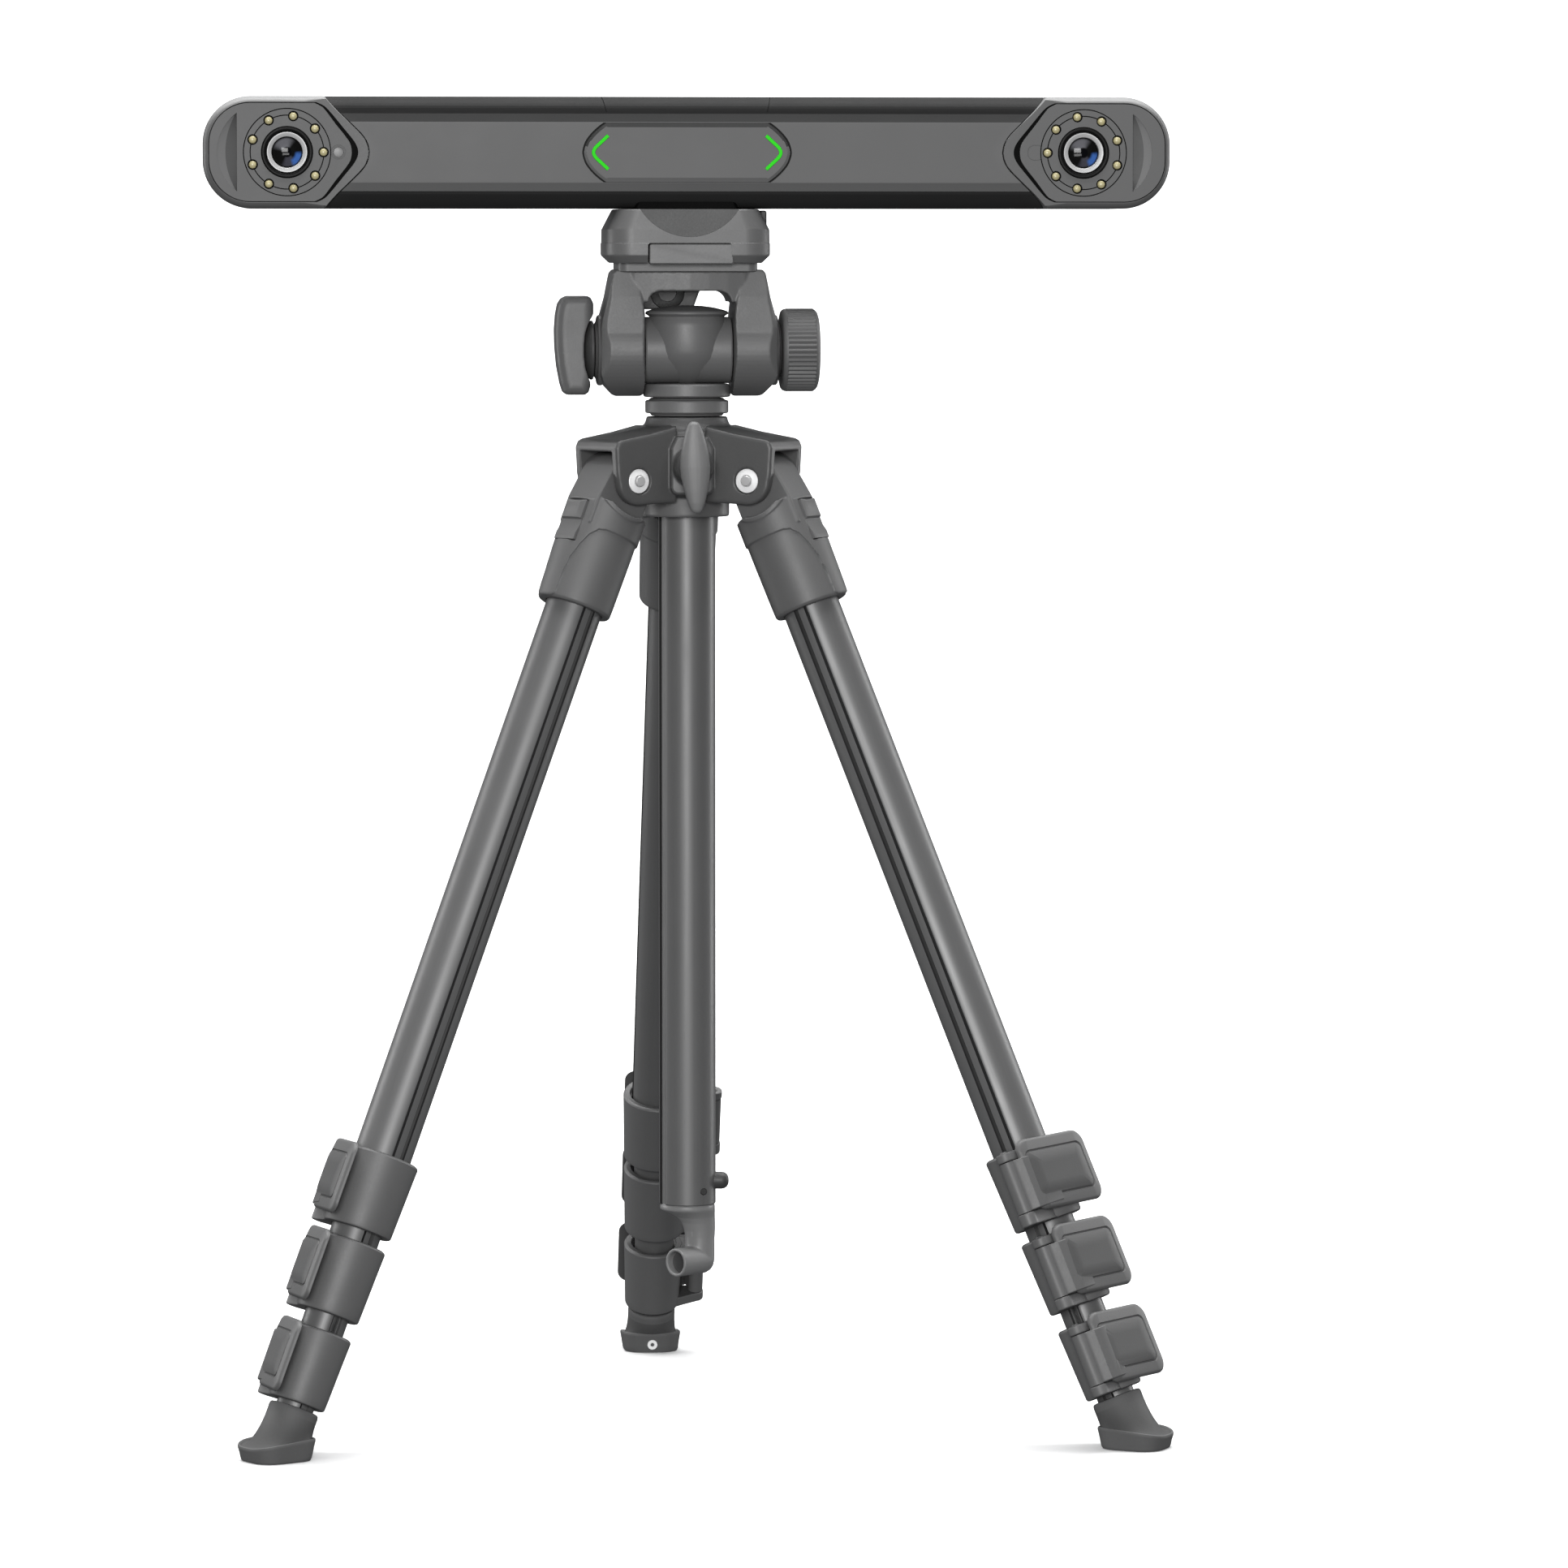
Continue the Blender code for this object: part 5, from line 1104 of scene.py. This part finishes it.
def build_foot():
    a = math.radians(LEG_ANGLE)
    drop = -(PIVOT_Z + LIFT) / math.cos(a)
    outline = arc(-6.5, -8, 10, 180, 270, 8) + arc(6.5, -8, 10, 270, 360, 8) + arc(4.5, 6.5, 12, 0, 90, 8) + arc(-4.5, 6.5, 12, 90, 180, 8)

    def reach(t):
        """Where the sole's outline is met in direction t."""
        c, s = math.cos(t), math.sin(t)
        best = 0.0
        for (x0, y0), (x1, y1) in zip(outline, outline[1:] + outline[:1]):
            den = c * (y1 - y0) - s * (x1 - x0)
            if abs(den) < 1e-9:
                continue
            q = (x0 * (y1 - y0) - y0 * (x1 - x0)) / den
            f = (c * y0 - s * x0) / -(c * (y1 - y0) - s * (x1 - x0))
            if q > 0 and -1e-6 <= f <= 1 + 1e-6:
                best = max(best, q)
        return best

    n = 72
    dirs = [math.tau * k / n for k in range(n)]
    rad = [reach(t) for t in dirs]

    def level(scale, zb, tip=0.0, curl=0.0, wall=0.0):
        out = []
        for t, q in zip(dirs, rad):
            x, y = q * scale * math.cos(t), q * scale * math.sin(t)
            z = zb + tip * (17 - y) / 34 + curl * max(0.0, -y / 17) ** 2 + wall * (x / 16) ** 2
            out.append(Vector((x, y * math.cos(a) + z * math.sin(a), -y * math.sin(a) + z * math.cos(a) + drop)))
        return out

    def round_(r, z, dy=0.0):
        return [Vector((r * math.cos(t), r * math.sin(t) + dy, z)) for t in dirs]

    rim, waist = level(0.93, 7.6, 2.8, 0, 1.3), round_(13.15, -519.0)

    def flare(t):
        """Hollow sweep from the sole's rim up to the neck."""
        q = math.radians(90 * t)
        out = []
        for u, v in zip(rim, waist):
            f, g = 1 - math.sin(q), 1 - math.cos(q)
            out.append(Vector((v.x + (u.x - v.x) * f, v.y + (u.y - v.y) * f, u.z + (v.z - u.z) * g - 0.6 * math.sin(math.pi * min(1.0, t * 2.2)))))
        return out

    rings = [level(0.80, 0.4), level(0.86, 0.0), level(0.90, 0.35, 0, 1.2), level(0.925, 1.3, 0, 2.4), level(0.96, 4.2, 1.4, 1.0, 0.6), level(0.995, 6.2, 2.8, 0, 1.3), level(1.0, 7.0, 2.8, 0, 1.3), level(0.99, 7.8, 2.8, 0, 1.3), level(0.965, 8.1, 2.8, 0, 1.3), rim]
    rings += [flare(t / 10) for t in range(1, 11)]
    rings += [round_(13.2, -516.6), round_(13.0, -515.3), round_(12.5, -514.6), round_(11.2, -514.3), round_(10.25, -514.6), round_(10.25, -520)]
    ob = loft([[tuple(p) for p in r] for r in rings])
    # the flare's faces take the rubber with painted shade in the hollow
    for k, p in enumerate(ob.data.polygons):
        p.material_index = 1 if 9 <= k // n <= 18 else 0
    return shade(ob, 40)


shoulder, tab, boot = build_shoulder(), build_tab(), build_foot()
collars = [build_collar(i) for i in range(3)]
levers = [build_lever(i) for i in range(3)]
tubes = []
for i in range(4):
    low = COLLAR_TOP[i] - COLLAR_H + 3.2 if i < 3 else TUBE4_END
    tubes.append(shade(tube(TUBE_R[i], TUBE_IN[i], low, TUBE_TOP[i], (0.0, math.pi), stop=TUBE_TOP[i] - 4), 24))
fa = math.radians(LEG_ANGLE)
screw = lathe([(1.0, 15.6), (2.75, 15.6), (2.85, 17.3), (2.6, 17.7), (1.3, 17.7), (1.0, 17.4)], 32, "-y", (0, 0, 4.6), loop=True)
spun(screw, Matrix.Translation((0, 0, -(PIVOT_Z + LIFT) / math.cos(fa) * MM)) @ Matrix.Rotation(-fa, 4, "X"))
shade(screw, 35)
for side in LEG_AZ:
    leg, at = side + "_leg", leg_frame(side)
    owner = [leg, leg + "_extension_2", leg + "_extension_3", leg + "_extension_4"]
    dress(copy_of(shoulder), leg + "_shoulder_skin", leg, M["mould"], leg + "_shoulder", at)
    dress(copy_of(tab), leg + "_angle_tab_skin", leg + "_tab", M["mould"], leg + "_angle_tab", at)
    for i in range(4):
        dress(copy_of(tubes[i]), leg + "_section_" + str(i + 1) + "_tube", owner[i], [M["tube"], M["groove_shade"]], leg + "_section_" + str(i + 1), at)
        if i < 3:
            dress(copy_of(collars[i]), leg + "_collar_" + str(i + 1), owner[i], M["collar"], place=at)
            dress(copy_of(levers[i]), leg + "_lever_" + str(i + 1) + "_skin", leg + "_lever_" + str(i + 1), [M["lever"], M["pad"]], leg + "_lever_" + str(i + 1), at)
    dress(spun(copy_of(boot), at), leg + "_foot_skin", owner[3], [M["rubber"], M["hollow"]], leg + "_foot", Matrix())
    dress(spun(copy_of(screw), at), leg + "_foot_screw", owner[3], M["steel"], place=Matrix())
for o in (shoulder, tab, boot, screw, *collars, *levers, *tubes):
    bpy.data.objects.remove(o, do_unlink=True)

# pieces kept as the frame has them
KEEP = {"tilt_shaft": "steel", "optical_beam": "beam", "main_board": "board"}
for name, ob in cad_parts.items():
    m = M[KEEP.get(name, "mould")]
    ob.data.materials.clear()
    ob.data.materials.append(m)

# ---------------------------------------------------------------- studio
prof = [(-9.0, 0.0), (5.2, 0.0)] + [(5.2 + 1.6 * math.sin(math.radians(t)), 1.6 - 1.6 * math.cos(math.radians(t))) for t in range(10, 91, 10)] + [(6.8, 7.0)]
verts, faces = [], []
for y, z in prof:
    verts += [(-9000, y * 1000, z * 1000), (9000, y * 1000, z * 1000)]
for k in range(len(prof) - 1):
    faces.append((2 * k, 2 * k + 1, 2 * k + 3, 2 * k + 2))
me = bpy.data.meshes.new("studio_floor")
me.from_pydata([(x * MM, y * MM, z * MM) for x, y, z in verts], [], faces)
me.shade_smooth()
floor = bpy.data.objects.new("studio_floor", me)
scene.collection.objects.link(floor)
me.materials.append(finish_of("studio_white", (0.86, 0.86, 0.86), 0.8, grain=40, bump=0.0, vary=0.01, blotch=2.0, spec=0.1))
floor.visible_diffuse = False
floor.visible_glossy = False


def softbox(name, at, aim, size, power, tint=(1, 1, 1)):
    d = bpy.data.lights.new(name, "AREA")
    d.shape = "RECTANGLE"
    d.size, d.size_y = size
    d.energy = power
    d.color = tint
    o = bpy.data.objects.new(name, d)
    scene.collection.objects.link(o)
    o.location = at
    o.rotation_euler = (Vector(aim) - Vector(at)).to_track_quat("-Z", "Y").to_euler()
    o.visible_camera = False
    return o


softbox("top", (0.0, -0.3, 2.7), (0, 0, 0.4), (2.6, 0.9), 70)
softbox("front", (-0.6, -4.7, 1.3), (0, 0, 0.40), (1.5, 1.0), 122)
softbox("low", (-0.3, -3.4, 0.35), (0, 0.1, 0.15), (1.2, 0.4), 19)
softbox("left", (-2.3, 1.0, 0.8), (0, 0, 0.40), (0.5, 2.0), 24)
softbox("right", (2.3, 1.0, 0.8), (0, 0, 0.40), (0.5, 2.0), 24)
softbox("backdrop", (0, 0.9, 4.4), (0, 3.6, 0.6), (6.0, 0.8), 330)
softbox("backdrop_far", (0, 4.2, 4.6), (0, 6.7, 0.6), (7.0, 0.8), 420)
world = bpy.data.worlds.new("studio")
world.use_nodes = True
world.node_tree.nodes["Background"].inputs["Color"].default_value = (0.9, 0.92, 0.95, 1)
world.node_tree.nodes["Background"].inputs["Strength"].default_value = 0.16
scene.world = world

cam = bpy.data.cameras.new("camera")
cam.sensor_width = 36.0
cam.lens = 36.0 * 9641.0 / 1932.0
cam.clip_end = 60.0
eye_ = bpy.data.objects.new("camera", cam)
scene.collection.objects.link(eye_)
eye_.location = (-0.3414, -4.18025, 0.6238)
eye_.rotation_euler = (Vector((0.0511, -0.06655, 0.3374)) - eye_.location).to_track_quat("-Z", "Y").to_euler()
scene.camera = eye_
scene.view_settings.view_transform = "Standard"

bpy.context.view_layer.update()
